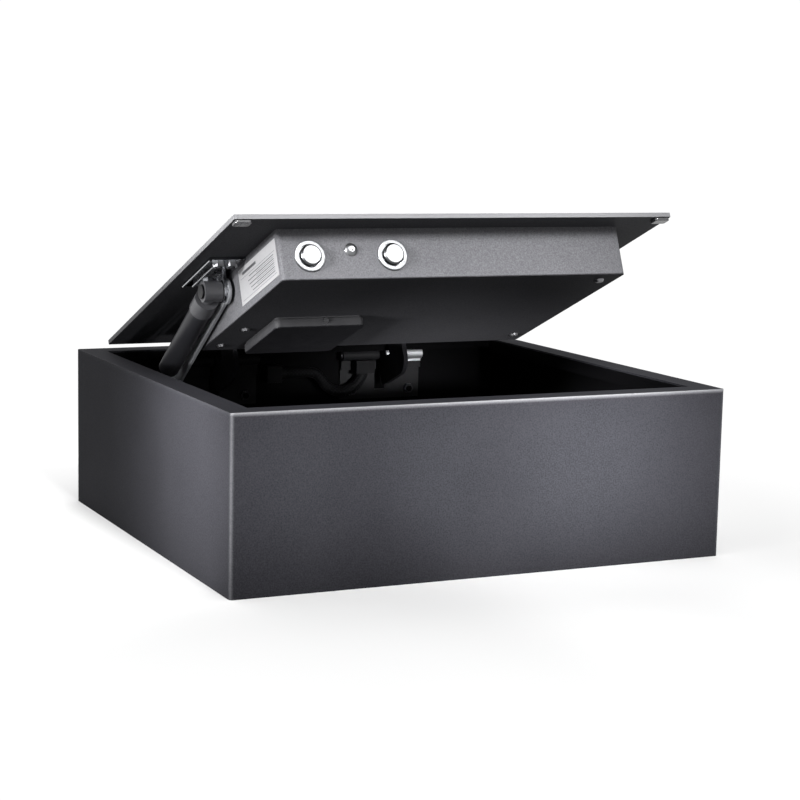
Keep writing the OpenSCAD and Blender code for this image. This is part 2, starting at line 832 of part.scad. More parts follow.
module lock_housing() {
    cx = housing_x;
    cy = (housing_front + housing_rear) / 2;
    color([0.42, 0.42, 0.45]) open_lid() difference() {
        translate([cx, cy, housing_low]) linear_extrude(housing_h)
            rounded_rect(housing_w, housing_d, housing_corner_r);
        translate([cx, cy, housing_floor]) linear_extrude(housing_h)
            rounded_rect(housing_w - 2 * housing_t, housing_d - 2 * housing_t, housing_corner_r - housing_t);
        for (s = [-1, 1])
            translate([bolt_pair_x + s * bolt_span / 2, 0, bolt_z])
                rod_y(housing_front - 1, housing_front + housing_t + 1, collar_neck + fit_gap);
        translate([sensor_x, 0, lid_under - sensor_drop])
            rod_y(housing_front - 1, housing_front + housing_t + 1, sensor_hole_r + fit_gap);
        for (p = screw_places)
            translate([p.x, p.y, housing_low - 1]) cylinder(h = housing_t + 2, r = screw_r + screw_gap);
        translate([holder_x, holder_y, housing_low - 1]) linear_extrude(housing_t + 2)
            rounded_rect(holder_w - 2 * hatch_inset, holder_d - 2 * hatch_inset, holder_r);
    }
}

module housing_screws() {
    color([0.80, 0.81, 0.83]) open_lid()
        for (p = screw_places) translate([p.x, p.y, housing_low]) {
            translate([0, 0, -screw_head_h])
                cylinder(h = screw_head_h, r1 = screw_head_r - 1, r2 = screw_head_r);
            cylinder(h = screw_len, r = screw_r);
        }
}

module battery_cover() {
    cx = cover_left + cover_w / 2;
    cy = cover_front + cover_d / 2;
    color([0.10, 0.10, 0.11]) open_lid() translate([cx, cy, housing_low - cover_h]) difference() {
        union() {
            linear_extrude(cover_lip_h) rounded_rect(cover_w, cover_d, cover_r);
            linear_extrude(cover_h)
                rounded_rect(cover_neck_w, cover_neck_d, cover_r - cover_neck_in);
        }
        translate([0, 0, cover_wall]) linear_extrude(cover_h)
            rounded_rect(cover_w - 2 * cover_inner, cover_d - 2 * cover_inner, cover_r - cover_inner);
        translate([cover_screw_x, -cover_d / 2, cover_screw_z])
            rod_y(-1, cover_inner + 1, cover_screw_r + fit_gap);
    }
}

module battery_cover_screw() {
    color([0.82, 0.83, 0.85]) open_lid()
        translate([cover_left + cover_w / 2 + cover_screw_x, cover_front,
                housing_low - cover_h + cover_screw_z]) {
            rod_y(-cover_screw_head_h, 0, cover_screw_head_r);
            rod_y(-eps, cover_screw_len, cover_screw_r);
        }
}

module battery_holder() {
    color([0.08, 0.08, 0.09]) open_lid() translate([holder_x, holder_y, housing_floor]) difference() {
        linear_extrude(holder_h) rounded_rect(holder_w, holder_d, holder_r);
        translate([0, 0, -1]) linear_extrude(holder_h - holder_wall + 1)
            square([holder_w - 2 * holder_wall, holder_d - 2 * holder_wall], center = true);
    }
}

module batteries() {
    color([0.75, 0.55, 0.20]) open_lid()
        for (i = [0 : cell_count - 1]) {
            flip = i % 2 == 0 ? 0 : 180;
            translate([holder_x + (i - (cell_count - 1) / 2) * cell_pitch, holder_y,
                    housing_floor + holder_h - holder_wall - cell_d / 2])
                rotate([0, 0, flip]) {
                    rod_y(-cell_len / 2, cell_len / 2 - nub_len, cell_d / 2);
                    rod_y(cell_len / 2 - nub_len - eps, cell_len / 2, nub_r);
                }
        }
}

module circuit_board() {
    color([0.05, 0.25, 0.12]) open_lid() translate([board_x, board_y, board_z]) {
        block([-board_w / 2, -board_d / 2, 0], [board_w / 2, board_d / 2, board_t]);
        for (x = [-1, 1], y = [-1, 1])
            translate([x * (board_w / 2 - board_peg_in), y * (board_d / 2 - board_peg_in), -board_rise])
                cylinder(h = board_rise + eps, r = board_peg_r);
        translate([chip_x, 0, board_t - eps])
            block([-chip_w / 2, -chip_w / 2, 0], [chip_w / 2, chip_w / 2, chip_h]);
        for (y = [-1, 1])
            translate([relay_x, y * relay_y, board_t - eps])
                block([-relay_w / 2, -relay_w / 2, 0], [relay_w / 2, relay_w / 2, relay_h]);
        for (i = [0 : 2])
            translate([capacitor_x, capacitor_front + i * capacitor_pitch, board_t - eps])
                cylinder(h = capacitor_h, r = capacitor_r);
    }
}

module gearbox() {
    color([0.80, 0.78, 0.70]) open_lid() difference() {
        block([pinion_x - gearbox_w / 2, pinion_y - gearbox_d / 2 + gearbox_back, housing_floor],
            [pinion_x + gearbox_w / 2, pinion_y + gearbox_d / 2 + gearbox_back, gearbox_top]);
        translate([pinion_x, pinion_y, gearbox_top - shaft_sink])
            cylinder(h = shaft_sink + 1, r = shaft_r + fit_gap);
    }
}

module lock_motor() {
    x0 = pinion_x + gearbox_w / 2;
    color([0.70, 0.71, 0.73]) open_lid() translate([0, pinion_y + gearbox_back, motor_z]) {
        rod_x(x0, x0 + motor_len, motor_d / 2);
        rod_x(x0 + motor_len - eps, x0 + motor_len + motor_boss_len, motor_boss_r);
    }
}

module bolt_guide() {
    half = bolt_span / 2 + bolt_r + guide_margin;
    y0 = housing_front + housing_t;
    color([0.60, 0.61, 0.62]) open_lid() translate([bolt_pair_x, 0, 0]) difference() {
        block([-half, y0, bolt_z - bolt_r - guide_rise],
            [half, y0 + guide_len, bolt_z + bolt_r + guide_rise]);
        for (s = [-1, 1])
            translate([s * bolt_span / 2, 0, bolt_z]) {
                rod_y(y0 - 1, y0 + guide_len + 1, bolt_r + fit_gap);
            }
        translate([sensor_x - bolt_pair_x, 0, lid_under - sensor_drop])
            rod_y(y0 - 1, y0 + sensor_room, sensor_hole_r + 1);
    }
}

// Chrome ring with a rounded edge and a neck through the housing's wall
module bolt_collar(s) {
    r = collar_d / 2;
    round_r = collar_proud / 2;
    color([0.85, 0.86, 0.88]) open_lid()
        translate([bolt_pair_x + s * bolt_span / 2, housing_front, bolt_z]) rotate([90, 0, 0])
            rotate_extrude() difference() {
                union() {
                    translate([collar_bore, 0]) square([r - collar_bore, collar_proud - round_r]);
                    translate([collar_bore, 0]) square([r - round_r - collar_bore, collar_proud]);
                    translate([r - round_r, collar_proud - round_r]) circle(round_r);
                    translate([collar_bore, -housing_t]) square([collar_neck - collar_bore, housing_t + 1]);
                }
                translate([0, -housing_t - 1]) square([collar_bore, housing_t + collar_proud + 2]);
            }
}

module bolt_collar_left() {
    bolt_collar(-1);
}

module bolt_collar_right() {
    bolt_collar(1);
}

module sensor_bezel() {
    color([0.85, 0.86, 0.88]) open_lid()
        translate([sensor_x, housing_front, lid_under - sensor_drop]) rotate([90, 0, 0])
            difference() {
                union() {
                    rotate_extrude() intersection() {
                        translate([0, sensor_h - sensor_dome_r]) circle(sensor_dome_r);
                        square([sensor_r, sensor_h]);
                    }
                    translate([0, 0, -housing_t - 1]) cylinder(h = housing_t + 1 + eps, r = sensor_hole_r);
                }
                translate([0, 0, sensor_h - lens_sink]) cylinder(h = lens_sink + 1, r = lens_r + fit_gap);
            }
}

module sensor_lens() {
    color([0.02, 0.02, 0.03]) open_lid()
        translate([sensor_x, housing_front, lid_under - sensor_drop]) rotate([90, 0, 0])
            translate([0, 0, sensor_h - lens_sink]) cylinder(h = lens_t, r = lens_r);
}

module blank_label() {
    color([0.90, 0.90, 0.90]) open_lid()
        block([housing_left - label_t, housing_front + label_front, lid_under - label_drop - label_h],
            [housing_left, housing_front + label_front + label_len, lid_under - label_drop]);
}

// Gooseneck arm: hangs from the lid, dips under the rear lip and rises to the hinge pin
module arm_profile() {
    front = hinge_y - arm_front;
    low = lid_under - arm_depth;
    rear = hinge_y + knuckle_d / 2;
    notch_front = hinge_y - arm_leg_rear;
    neck = hinge_z - arm_neck_top;
    difference() {
        union() {
            translate([front, low + arm_nose_r]) square([notch_front - front, lid_under - low - arm_nose_r]);
            translate([front + arm_nose_r, low]) square([rear - arm_heel_r - front - arm_nose_r, neck - low]);
            translate([front + arm_nose_r, low + arm_heel_r])
                square([rear - front - arm_nose_r, neck - low - arm_heel_r]);
            translate([front + arm_nose_r, low + arm_nose_r]) circle(arm_nose_r);
            translate([rear - arm_heel_r, low + arm_heel_r]) circle(arm_heel_r);
            translate([hinge_y, hinge_z]) circle(knuckle_d / 2);
            translate([hinge_y - knuckle_d / 2, neck - 1]) square([knuckle_d, arm_neck_top + 1]);
        }
        translate([hinge_y, hinge_z]) circle(pin_d / 2 + fit_gap);
    }
}

module hinge_arm(s) {
    foot_x0 = s < 0 ? -hinge_x - arm_foot_w : hinge_x - eps;
    foot_y0 = hinge_y - arm_front;
    foot_y1 = hinge_y - arm_leg_rear;
    color([0.07, 0.07, 0.08]) open_lid() difference() {
        union() {
            side_plate(s * hinge_x - arm_t / 2, s * hinge_x + arm_t / 2) arm_profile();
            block([foot_x0, foot_y0, lid_under - arm_foot_t],
                [foot_x0 + arm_foot_w + eps, foot_y1, lid_under]);
        }
        for (p = arm_feet)
            translate([p.x, p.y, lid_under - arm_foot_t - 1])
                cylinder(h = arm_foot_t + 2, r = fix_hole_r);
    }
}

module hinge_arm_left() {
    hinge_arm(-1);
}

module hinge_arm_right() {
    hinge_arm(1);
}

// Chrome bracket under the lid: a plate with a rolled rail, a pressed rib and an ear for the top pin
module strut_lid_bracket() {
    y0 = top_closed.x - mount_plate_front;
    y1 = top_closed.x + mount_plate_rear;
    z0 = lid_under - mount_plate_t;
    ear_x = eye_right + side_gap;
    color([0.80, 0.81, 0.83]) open_lid() difference() {
        union() {
            block([mount_plate_left, y0, z0], [mount_plate_right, y1, lid_under]);
            side_plate(ear_x, ear_x + ear_t) {
                translate(top_closed) circle(ear_r);
                translate([top_closed.x - ear_r, top_closed.y])
                    square([2 * ear_r, strut_drop - mount_plate_t + eps]);
            }
            translate([mount_plate_left, y0, z0]) rod_y(0, y1 - y0, rail_r);
            translate([mount_plate_left + rib_in, y0 + rib_front, z0]) rod_y(0, y1 - y0 - rib_front, rail_r);
        }
        translate([0, top_closed.x, top_closed.y])
            rod_x(ear_x - 1, ear_x + ear_t + 1, stud_d / 2 + fit_gap);
        for (p = plate_feet)
            translate([p.x, p.y, z0 - 3]) cylinder(h = mount_plate_t + 4, r = fix_hole_r);
    }
}

module strut_lid_pin() {
    x0 = eye_left - side_gap;
    color([0.75, 0.76, 0.78]) open_lid() translate([0, top_closed.x, top_closed.y]) {
        rod_x(x0 - eps, stay_right + side_gap + eps, stud_d / 2);
        rod_x(x0 - clip_t, x0, pin_clip_r);
        rod_x(stay_right + side_gap, stay_right + side_gap + clip_t, clip_r);
    }
}

module lid_nuts() {
    color([0.75, 0.76, 0.78]) open_lid() {
        for (p = arm_feet) translate(p) rotate([180, 0, 0]) nut(arm_foot_t);
        for (p = plate_feet) translate(p) rotate([180, 0, 0]) nut(mount_plate_t);
    }
}

// Keypad
function key_x(i) = (i % key_columns - (key_columns - 1) / 2) * key_pitch_x;
function key_y(i) = bezel_front + key_margin + (key_rows - 1 - floor(i / key_columns)) * key_pitch_y;

module keypad_bezel() {
    w = bezel_w - 2 * bezel_rebate;
    d = bezel_d - 2 * bezel_rebate;
    color([0.05, 0.05, 0.06]) open_lid() translate([0, bezel_y, 0]) difference() {
        union() {
            translate([0, 0, lid_top]) linear_extrude(bezel_h) rounded_rect(bezel_w, bezel_d, bezel_r);
            translate([0, 0, lid_top - bezel_sink]) linear_extrude(bezel_sink + eps)
                rounded_rect(w, d, bezel_r - seat_gap);
        }
        translate([0, 0, lid_top - bezel_sink - 1])
            linear_extrude(bezel_sink + 1 + bezel_h - bezel_face_t)
                square([w - 2 * bezel_wall, d - 2 * bezel_wall], center = true);
        for (i = [0 : key_columns * key_rows - 1])
            translate([key_x(i), key_y(i) - bezel_y, bezel_top - bezel_face_t - 1])
                linear_extrude(bezel_face_t + 2)
                    rounded_rect(key_w + 2 * key_gap, key_d + 2 * key_gap, key_r + key_gap);
        translate([0, display_y - bezel_y, bezel_top - bezel_face_t - 1])
            linear_extrude(bezel_face_t + 2) square([display_w, display_d], center = true);
    }
}

module display_window() {
    color([0.02, 0.03, 0.03]) open_lid()
        translate([0, display_y, bezel_top - display_t]) linear_extrude(display_t - display_sink)
            square([display_w - 2 * fit_gap, display_d - 2 * fit_gap], center = true);
}

module keypad_board() {
    w = bezel_w - 2 * bezel_rebate - 2 * bezel_wall - 2 * fit_gap;
    d = bezel_d - 2 * bezel_rebate - 2 * bezel_wall - 2 * fit_gap;
    color([0.05, 0.25, 0.12]) open_lid()
        translate([0, bezel_y, keypad_board_z]) linear_extrude(keypad_board_t)
            square([w, d], center = true);
}

module key_cap(i) {
    color([0.16, 0.16, 0.17]) open_lid()
        translate([key_x(i), key_y(i), bezel_top - bezel_face_t - key_skirt_t]) {
            linear_extrude(key_skirt_t - fit_gap)
                rounded_rect(key_w + 2 * key_skirt, key_d + 2 * key_skirt, key_r);
            linear_extrude(key_skirt_t + bezel_face_t + key_proud) rounded_rect(key_w, key_d, key_r);
        }
}

// Bolt carriage, bolts and drive
function tooth_half(depth) = PI * tooth_module / 4 - tooth_backlash / 4 - depth * tan(pressure_angle);

module rack_profile(len) {
    translate([-rack_body_w - tooth_ded, 0]) square([rack_body_w, len]);
    for (i = [0 : floor(len / rack_pitch) - 1]) {
        c = (i + 0.75) * rack_pitch;
        polygon([[-tooth_ded - eps, c - tooth_half(-tooth_ded)], [tooth_add, c - tooth_half(tooth_add)],
            [tooth_add, c + tooth_half(tooth_add)], [-tooth_ded - eps, c + tooth_half(-tooth_ded)]]);
    }
}

// Involute half-thickness angle of the pinion's tooth at radius r
base_r = pitch_r * cos(pressure_angle);
function involute(r) = let (a = acos(min(1, base_r / r))) tan(a) * 180 / PI - a;
function flank(r) = (PI * tooth_module / 4 - tooth_backlash / 4) / pitch_r * 180 / PI
    + involute(pitch_r) - involute(max(r, base_r));

module pinion_profile() {
    root_r = pitch_r - tooth_ded;
    tip_r = pitch_r + tooth_add;
    flank_r = max(root_r, base_r);
    steps = 4;
    radii = concat([root_r - 0.3], [for (k = [0 : steps]) flank_r + (tip_r - flank_r) * k / steps]);
    circle(root_r);
    for (i = [0 : pinion_teeth - 1]) rotate([0, 0, (i + 0.5) * 360 / pinion_teeth])
        polygon(concat([for (r = radii) r * [cos(flank(r)), sin(flank(r))]],
            [for (k = [len(radii) - 1 : -1 : 0]) radii[k] * [cos(flank(radii[k])), -sin(flank(radii[k]))]]));
}

rack_start = bolt_back + bar_d;
rack_pitch = PI * tooth_module;
// Turns the pinion so that one of its teeth fills a gap of the rack
rack_gap_y = rack_start + (floor((pinion_y - rack_start) / rack_pitch) + 0.25) * rack_pitch;
pinion_turn = 180 + 180 / pinion_teeth - (rack_gap_y - pinion_y) / pitch_r * 180 / PI;

module bolt_carriage() {
    half = bolt_span / 2 + bar_margin;
    color([0.62, 0.63, 0.65]) open_lid() {
        block([bolt_pair_x - half, bolt_back, bolt_z - bolt_r],
            [bolt_pair_x + half, bolt_back + bar_d, rack_z + rack_h]);
        translate([rack_pitch_x, rack_start - eps, rack_z]) linear_extrude(rack_h)
            rack_profile(rack_back - rack_start);
    }
}

module lock_bolt(s) {
    color([0.88, 0.89, 0.90]) open_lid()
        translate([bolt_pair_x + s * bolt_span / 2, bolt_tip, bolt_z]) rotate([-90, 0, 0])
            rotate_extrude() polygon([[0, 0], [bolt_r - bolt_chamfer, 0], [bolt_r, bolt_chamfer],
                [bolt_r, bolt_back - bolt_tip], [0, bolt_back - bolt_tip]]);
}

module lock_bolt_left() {
    lock_bolt(-1);
}

module lock_bolt_right() {
    lock_bolt(1);
}

module drive_pinion() {
    color([0.72, 0.60, 0.30]) open_lid() translate([pinion_x, pinion_y, rack_z]) {
        rotate([0, 0, pinion_turn]) linear_extrude(rack_h) pinion_profile();
        translate([0, 0, gearbox_top - rack_z - shaft_sink + side_gap])
            cylinder(h = rack_z - gearbox_top + shaft_sink, r = shaft_r);
    }
}

// Gas strut and stay
module strut_tube() {
    r = tube_d / 2;
    color([0.10, 0.10, 0.11]) along_strut() translate([-strut_x, 0, 0]) rotate_extrude() difference() {
        translate([0, tube_start]) square([r, tube_len]);
        translate([0, tube_start + tube_end_t]) square([r - tube_wall, tube_len - tube_end_t - guide_plug]);
        translate([0, tube_end - guide_plug - 1]) square([rod_d / 2 + fit_gap, guide_plug + 2]);
    }
}

module strut_top_eye() {
    color([0.16, 0.16, 0.17]) along_strut() difference() {
        union() {
            rod_x(eye_left, eye_right, eye_d / 2);
            translate([-strut_x, 0, 0]) cylinder(h = cup_start + 1, r = eye_neck_r);
            translate([-strut_x, 0, cup_start]) cylinder(h = cup_len, r = cup_r);
        }
        rod_x(eye_left - 1, eye_right + 1, stud_d / 2 + fit_gap);
        translate([-strut_x, 0, tube_start]) cylinder(h = cup_len, r = tube_d / 2);
    }
}

module strut_rod() {
    color([0.85, 0.86, 0.88]) along_strut() translate([-strut_x, 0, 0]) {
        translate([0, 0, rod_start]) cylinder(h = open_len - foot_neck_len - rod_start, r = rod_d / 2);
        translate([0, 0, rod_start]) cylinder(h = piston_len, r = tube_d / 2 - tube_wall - fit_gap);
    }
}

module strut_lower_eye() {
    color([0.16, 0.16, 0.17]) along_strut() translate([0, 0, open_len]) difference() {
        union() {
            rod_x(eye_left, eye_right, eye_d / 2);
            translate([-strut_x, 0, -foot_neck_len - foot_socket])
                cylinder(h = foot_neck_len + foot_socket - stud_d / 2 - play - 1, r = eye_neck_r);
        }
        rod_x(eye_left - 1, eye_right + 1, stud_d / 2 + play);
        translate([-strut_x, 0, -foot_neck_len - foot_socket - 1])
            cylinder(h = foot_socket + 1, r = rod_d / 2);
    }
}

// Flat arm beside the strut: its slot rides on the lower stud and stops the lid
module stay_arm() {
    slot_r = stud_d / 2 + play;
    color([0.45, 0.46, 0.48]) along_strut() side_plate(stay_left, stay_right) difference() {
        union() {
            circle(stay_head_r);
            translate([-stay_w / 2, 0]) square([stay_w, stay_end - stay_w / 2]);
            translate([0, stay_end - stay_w / 2]) circle(stay_w / 2);
        }
        circle(stud_d / 2 + fit_gap);
        translate([0, closed_len]) circle(slot_r);
        translate([0, open_len]) circle(slot_r);
        translate([-slot_r, closed_len]) square([2 * slot_r, open_len - closed_len]);
    }
}

body_shell();
floor_mat();
strike_plate();
hinge_bracket_left();
hinge_bracket_right();
hinge_pin_left();
hinge_pin_right();
strut_body_bracket();
strut_stud();
bracket_nuts();
power_lead();
lead_gland();
junction_block();
lid_plate();
corner_pads();
lock_housing();
housing_screws();
battery_cover();
battery_cover_screw();
battery_holder();
batteries();
circuit_board();
lock_motor();
gearbox();
bolt_guide();
bolt_collar_left();
bolt_collar_right();
sensor_bezel();
sensor_lens();
blank_label();
hinge_arm_left();
hinge_arm_right();
strut_lid_bracket();
strut_lid_pin();
lid_nuts();
keypad_bezel();
keypad_board();
display_window();
bolt_carriage();
lock_bolt_left();
lock_bolt_right();
drive_pinion();
strut_tube();
strut_top_eye();
strut_rod();
strut_lower_eye();
stay_arm();
key_cap(0);  // key_1
key_cap(1);  // key_2
key_cap(2);  // key_3
key_cap(3);  // key_4
key_cap(4);  // key_5
key_cap(5);  // key_6
key_cap(6);  // key_7
key_cap(7);  // key_8
key_cap(8);  // key_9
key_cap(9);  // key_clear
key_cap(10);  // key_0
key_cap(11);  // key_enter
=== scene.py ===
# %% [markdown]
# # A drawer safe, dressed for its portrait
# The safe is a low steel box with a lid that tips up on a gas strut. Its solids come from the
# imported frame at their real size. Each step here gives one part of it the finish that the real
# thing has: powder coat on the steel, chrome on the bolts, moulded plastic on the cover and keys.

# %% Load the frame
import json
import math

import bpy
from mathutils import Matrix, Vector


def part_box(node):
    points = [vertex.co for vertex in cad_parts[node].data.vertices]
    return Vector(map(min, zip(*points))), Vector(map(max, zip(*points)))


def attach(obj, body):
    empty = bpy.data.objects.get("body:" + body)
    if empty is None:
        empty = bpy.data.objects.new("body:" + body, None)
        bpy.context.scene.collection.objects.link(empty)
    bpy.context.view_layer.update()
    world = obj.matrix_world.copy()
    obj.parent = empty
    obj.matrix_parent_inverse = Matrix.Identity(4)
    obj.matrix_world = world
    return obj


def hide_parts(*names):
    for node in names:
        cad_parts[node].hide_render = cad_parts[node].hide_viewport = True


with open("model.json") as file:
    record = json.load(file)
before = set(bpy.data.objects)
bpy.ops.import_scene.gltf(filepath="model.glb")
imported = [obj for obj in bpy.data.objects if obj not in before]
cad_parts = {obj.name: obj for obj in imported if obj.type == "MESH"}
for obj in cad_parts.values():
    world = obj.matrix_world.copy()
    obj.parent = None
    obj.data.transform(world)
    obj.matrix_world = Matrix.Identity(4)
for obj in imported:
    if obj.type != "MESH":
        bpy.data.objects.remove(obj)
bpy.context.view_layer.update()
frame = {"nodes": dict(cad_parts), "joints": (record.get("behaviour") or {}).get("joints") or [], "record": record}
MM = 0.001
scene = bpy.context.scene
bodies = frame["record"]["behaviour"]["bodies"]

# %% [markdown]
# ## The camera
# A camera could be placed by eye, but straight edges of a box give its place exactly: where the
# edges meet in the picture fixes the distance, the height and the lens. The values below are that
# fit. The camera stands about 1.6 m away, left of the middle and 20 cm above the rim, and leans by
# a degree.

# %% Camera
CAMERA_AT = Vector((-665.8, -1430.1, 336.9)) * MM
AZIMUTH = math.radians(-25.431)
ELEVATION = math.radians(8.388)
ROLL = math.radians(1.207)
SENSOR_MM = 36.0
LENS_MM = 89.22

forward = Vector((-math.sin(AZIMUTH) * math.cos(ELEVATION),
                  math.cos(AZIMUTH) * math.cos(ELEVATION), -math.sin(ELEVATION)))
level = Vector((math.cos(AZIMUTH), math.sin(AZIMUTH), 0))
upright = level.cross(forward)
camera_right = math.cos(ROLL) * level + math.sin(ROLL) * upright
camera_top = math.cos(ROLL) * upright - math.sin(ROLL) * level

camera_data = bpy.data.cameras.new("portrait_camera")
camera_data.sensor_width = SENSOR_MM
camera_data.lens = LENS_MM
camera = bpy.data.objects.new("portrait_camera", camera_data)
scene.collection.objects.link(camera)
camera_turn = Matrix((camera_right, camera_top, -forward)).transposed().to_4x4()
camera.matrix_world = Matrix.Translation(CAMERA_AT) @ camera_turn
scene.camera = camera
print("camera looks along", [round(c, 3) for c in forward])

# %% [markdown]
# ## Shader arithmetic
# A pattern is mostly sums and products of numbers that change over a surface. Adding Math nodes by
# hand is slow to read, so one small class wraps a socket and turns Python's operators into nodes.

# %% Value
class Value:
    """An output socket that can be added, multiplied and compared like a number."""

    def __init__(self, finish, socket):
        self.finish, self.socket = finish, socket

    def math(self, operation, *others):
        terms = {f"_{i}": term for i, term in enumerate((self, *others))}
        return self.finish.node("Math", {"operation": operation}, **terms)

    def __add__(self, other):
        return self.math("ADD", other)

    def __sub__(self, other):
        return self.math("SUBTRACT", other)

    def __rsub__(self, other):
        return self.finish.node("Math", {"operation": "SUBTRACT"}, _0=other, _1=self)

    def __mul__(self, other):
        return self.math("MULTIPLY", other)

    def __pow__(self, other):
        return self.math("POWER", other)

    def __lt__(self, other):
        return self.math("LESS_THAN", other)

    def __gt__(self, other):
        return self.math("GREATER_THAN", other)

    def __abs__(self):
        return self.math("ABSOLUTE")

    __radd__ = __add__
    __rmul__ = __mul__

    def part(self, name):
        """Another output of the same node."""
        return Value(self.finish, self.socket.node.outputs[name])


def rgba(tone):
    """A colour for a socket: a Value as it is, or three numbers made opaque."""
    return tone if isinstance(tone, Value) else (*tone, 1)


print("operators are ready")

# %% [markdown]
# ## A finish
# A material in Blender is a tree of nodes that ends in a shader. Clicking it together hides what
# was chosen, so a second class builds it in code. Every node comes from one method, which takes
# the node's type, its settings and what goes into its sockets, and the methods after it name the
# patterns that are used most.

# %% Finish
class Finish:
    """A material that is built node by node round one Principled shader."""

    def __init__(self, name):
        self.material = bpy.data.materials.new(name)
        self.material.use_nodes = True
        self.tree = self.material.node_tree
        self.tree.nodes.clear()
        self.place = self.node("TexCoord").part("Object")

    def node(self, kind, settings=None, **sockets):
        """A new node. Its sockets go by name, or as _0, _1 and so on by their place."""
        made = self.tree.nodes.new("ShaderNode" + kind)
        for key, setting in (settings or {}).items():
            setattr(made, key, setting)
        for key, value in sockets.items():
            socket = made.inputs[int(key[1:]) if key[0] == "_" else key.replace("_", " ")]
            if isinstance(value, Value):
                self.tree.links.new(value.socket, socket)
            else:
                socket.default_value = value
        return Value(self, next(s for s in made.outputs if s.enabled))

    def axes(self, place=None):
        """X, Y and Z of a place, which is the object's own where none is given."""
        split = self.node("SeparateXYZ", Vector=place or self.place)
        return split.part("X"), split.part("Y"), split.part("Z")

    def noise(self, grain_mm, detail=2.0, place=None):
        """Noise whose spots are about grain_mm across."""
        return self.node("TexNoise", Vector=place or self.place, Scale=1 / (grain_mm * MM),
                         Detail=detail)

    def cells(self, size_mm):
        """A mesh of cells that are about size_mm across."""
        return self.node("TexVoronoi", Vector=self.place, Scale=1 / (size_mm * MM))

    def mix(self, share, low, high):
        """A colour between low and high. A Mix node keeps its two colours at places 6 and 7."""
        return self.node("Mix", {"data_type": "RGBA"}, _0=share, _6=rgba(low), _7=rgba(high))

    def bump(self, height, depth_mm, strength):
        return self.node("Bump", Height=height, Distance=depth_mm * MM, Strength=strength)

    def surface(self, base, roughness, metallic=0.0, **sockets):
        """The closing shader. It gives back the finished material."""
        shader = self.node("BsdfPrincipled", Base_Color=rgba(base), Roughness=roughness,
                           Metallic=metallic, **sockets)
        out = self.tree.nodes.new("ShaderNodeOutputMaterial")
        self.tree.links.new(shader.socket, out.inputs["Surface"])
        return self.material


print("shader arithmetic is ready")

# %% [markdown]
# ## Places on the open lid
# The frame holds the lid open, so everything on it lies at a slant. A finish that follows the
# lid's own directions turns its coordinates back with a Mapping node, as if the lid were shut, and
# the same turn gives the corners of a node on the shut lid.

# %% The lid's own directions
lid_joint = next(j for j in frame["joints"] if j["name"] == "lid_hinge")
HINGE = Vector(lid_joint["pos_m"])
OPEN = math.radians(lid_joint["range_deg"][1])


def swung(point, angle):
    """Where a point of the lid goes when the lid turns by an angle about its hinge."""
    return HINGE + Matrix.Rotation(angle, 3, "X") @ (Vector(point) - HINGE)


def shut_box(node):
    """A lid node's lowest and highest corner in the shut lid's frame."""
    points = [swung(v.co, OPEN) for v in frame["nodes"][node].data.vertices]
    low = Vector(min(p[i] for p in points) for i in range(3))
    high = Vector(max(p[i] for p in points) for i in range(3))
    return low, high


def shut_axes(finish, origin=(0, 0, 0)):
    """X, Y and Z in the shut lid's frame, counted from origin."""
    moved = swung((0, 0, 0), OPEN) - Vector(origin)
    place = finish.node("Mapping", Vector=finish.place, Rotation=(OPEN, 0, 0), Location=moved)
    return finish.axes(place)


print("hinge at", [round(c / MM, 1) for c in HINGE], "open by", round(math.degrees(OPEN), 1))

# %% [markdown]
# ## Powder coat
# Powder coat is sprayed as dry grains and baked until they flow together, which leaves a fine
# orange peel and a slight speckle. An image of it would repeat and blur, so two noises at the real
# grain size make it: both tint the grains, and both lift the surface by a few hundredths of a
# millimetre. A third, much wider one lets the tone drift. The coat is matt, and a low index of
# refraction keeps it from mirroring a white sky.

# %% Baked powder
GRAIN_MM = 1.1
FINE_MM = 0.45
DRIFT_MM = 60.0
GRAIN_TINT = 2.4
FINE_TINT = 0.8
DRIFT_TINT = 0.5
PEEL_MM = 0.07
COAT_IOR = 1.07


class PowderCoat(Finish):
    """Baked powder: the grains that tint it and the orange peel that they leave."""

    def __init__(self, name):
        super().__init__(name)
        self.grain = self.noise(GRAIN_MM, 3.0)
        self.fine = self.noise(FINE_MM)
        self.share = ((self.grain - 0.5) * GRAIN_TINT + (self.fine - 0.5) * FINE_TINT
                      + (self.noise(DRIFT_MM) - 0.5) * DRIFT_TINT + 0.5)

    def coated(self, tone, roughness, haze=0.2, lift=0.5):
        """The material. Haze spreads its roughness, and lift is the strength of its peel."""
        peel = self.grain * 0.55 + self.fine * 0.45
        return self.surface(tone, (self.fine - 0.5) * haze + roughness,
                            Normal=self.bump(peel, PEEL_MM, lift), IOR=COAT_IOR)


def black_satin(name):
    """The coat of the small arms and brackets."""
    coat = PowderCoat(name)
    tone = coat.mix(coat.share, (0.008, 0.008, 0.009), (0.014, 0.014, 0.016))
    return coat.coated(tone, 0.40, haze=0.25, lift=0.55)


black_coat = black_satin("black_satin_coat")
print("coat:", black_coat.name)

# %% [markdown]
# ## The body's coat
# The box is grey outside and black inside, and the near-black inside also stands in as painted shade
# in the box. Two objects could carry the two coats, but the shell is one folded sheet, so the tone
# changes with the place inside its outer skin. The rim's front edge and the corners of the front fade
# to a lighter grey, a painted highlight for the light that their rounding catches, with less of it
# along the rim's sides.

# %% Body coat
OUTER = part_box("body_shell")[1]
SKIN = 1.5 * MM
HIGHLIGHT_WIDTH = 3.2 * MM
FRONT_CORNER_HIGHLIGHT = 0.5
SIDE_RIM_HIGHLIGHT = 0.15
HIGHLIGHT_FADE = 1.5


def nearness(distance):
    """1 at an edge, falling to 0 at HIGHLIGHT_WIDTH from it."""
    return (1.0 - distance * (1 / HIGHLIGHT_WIDTH)).math("MAXIMUM", 0.0)


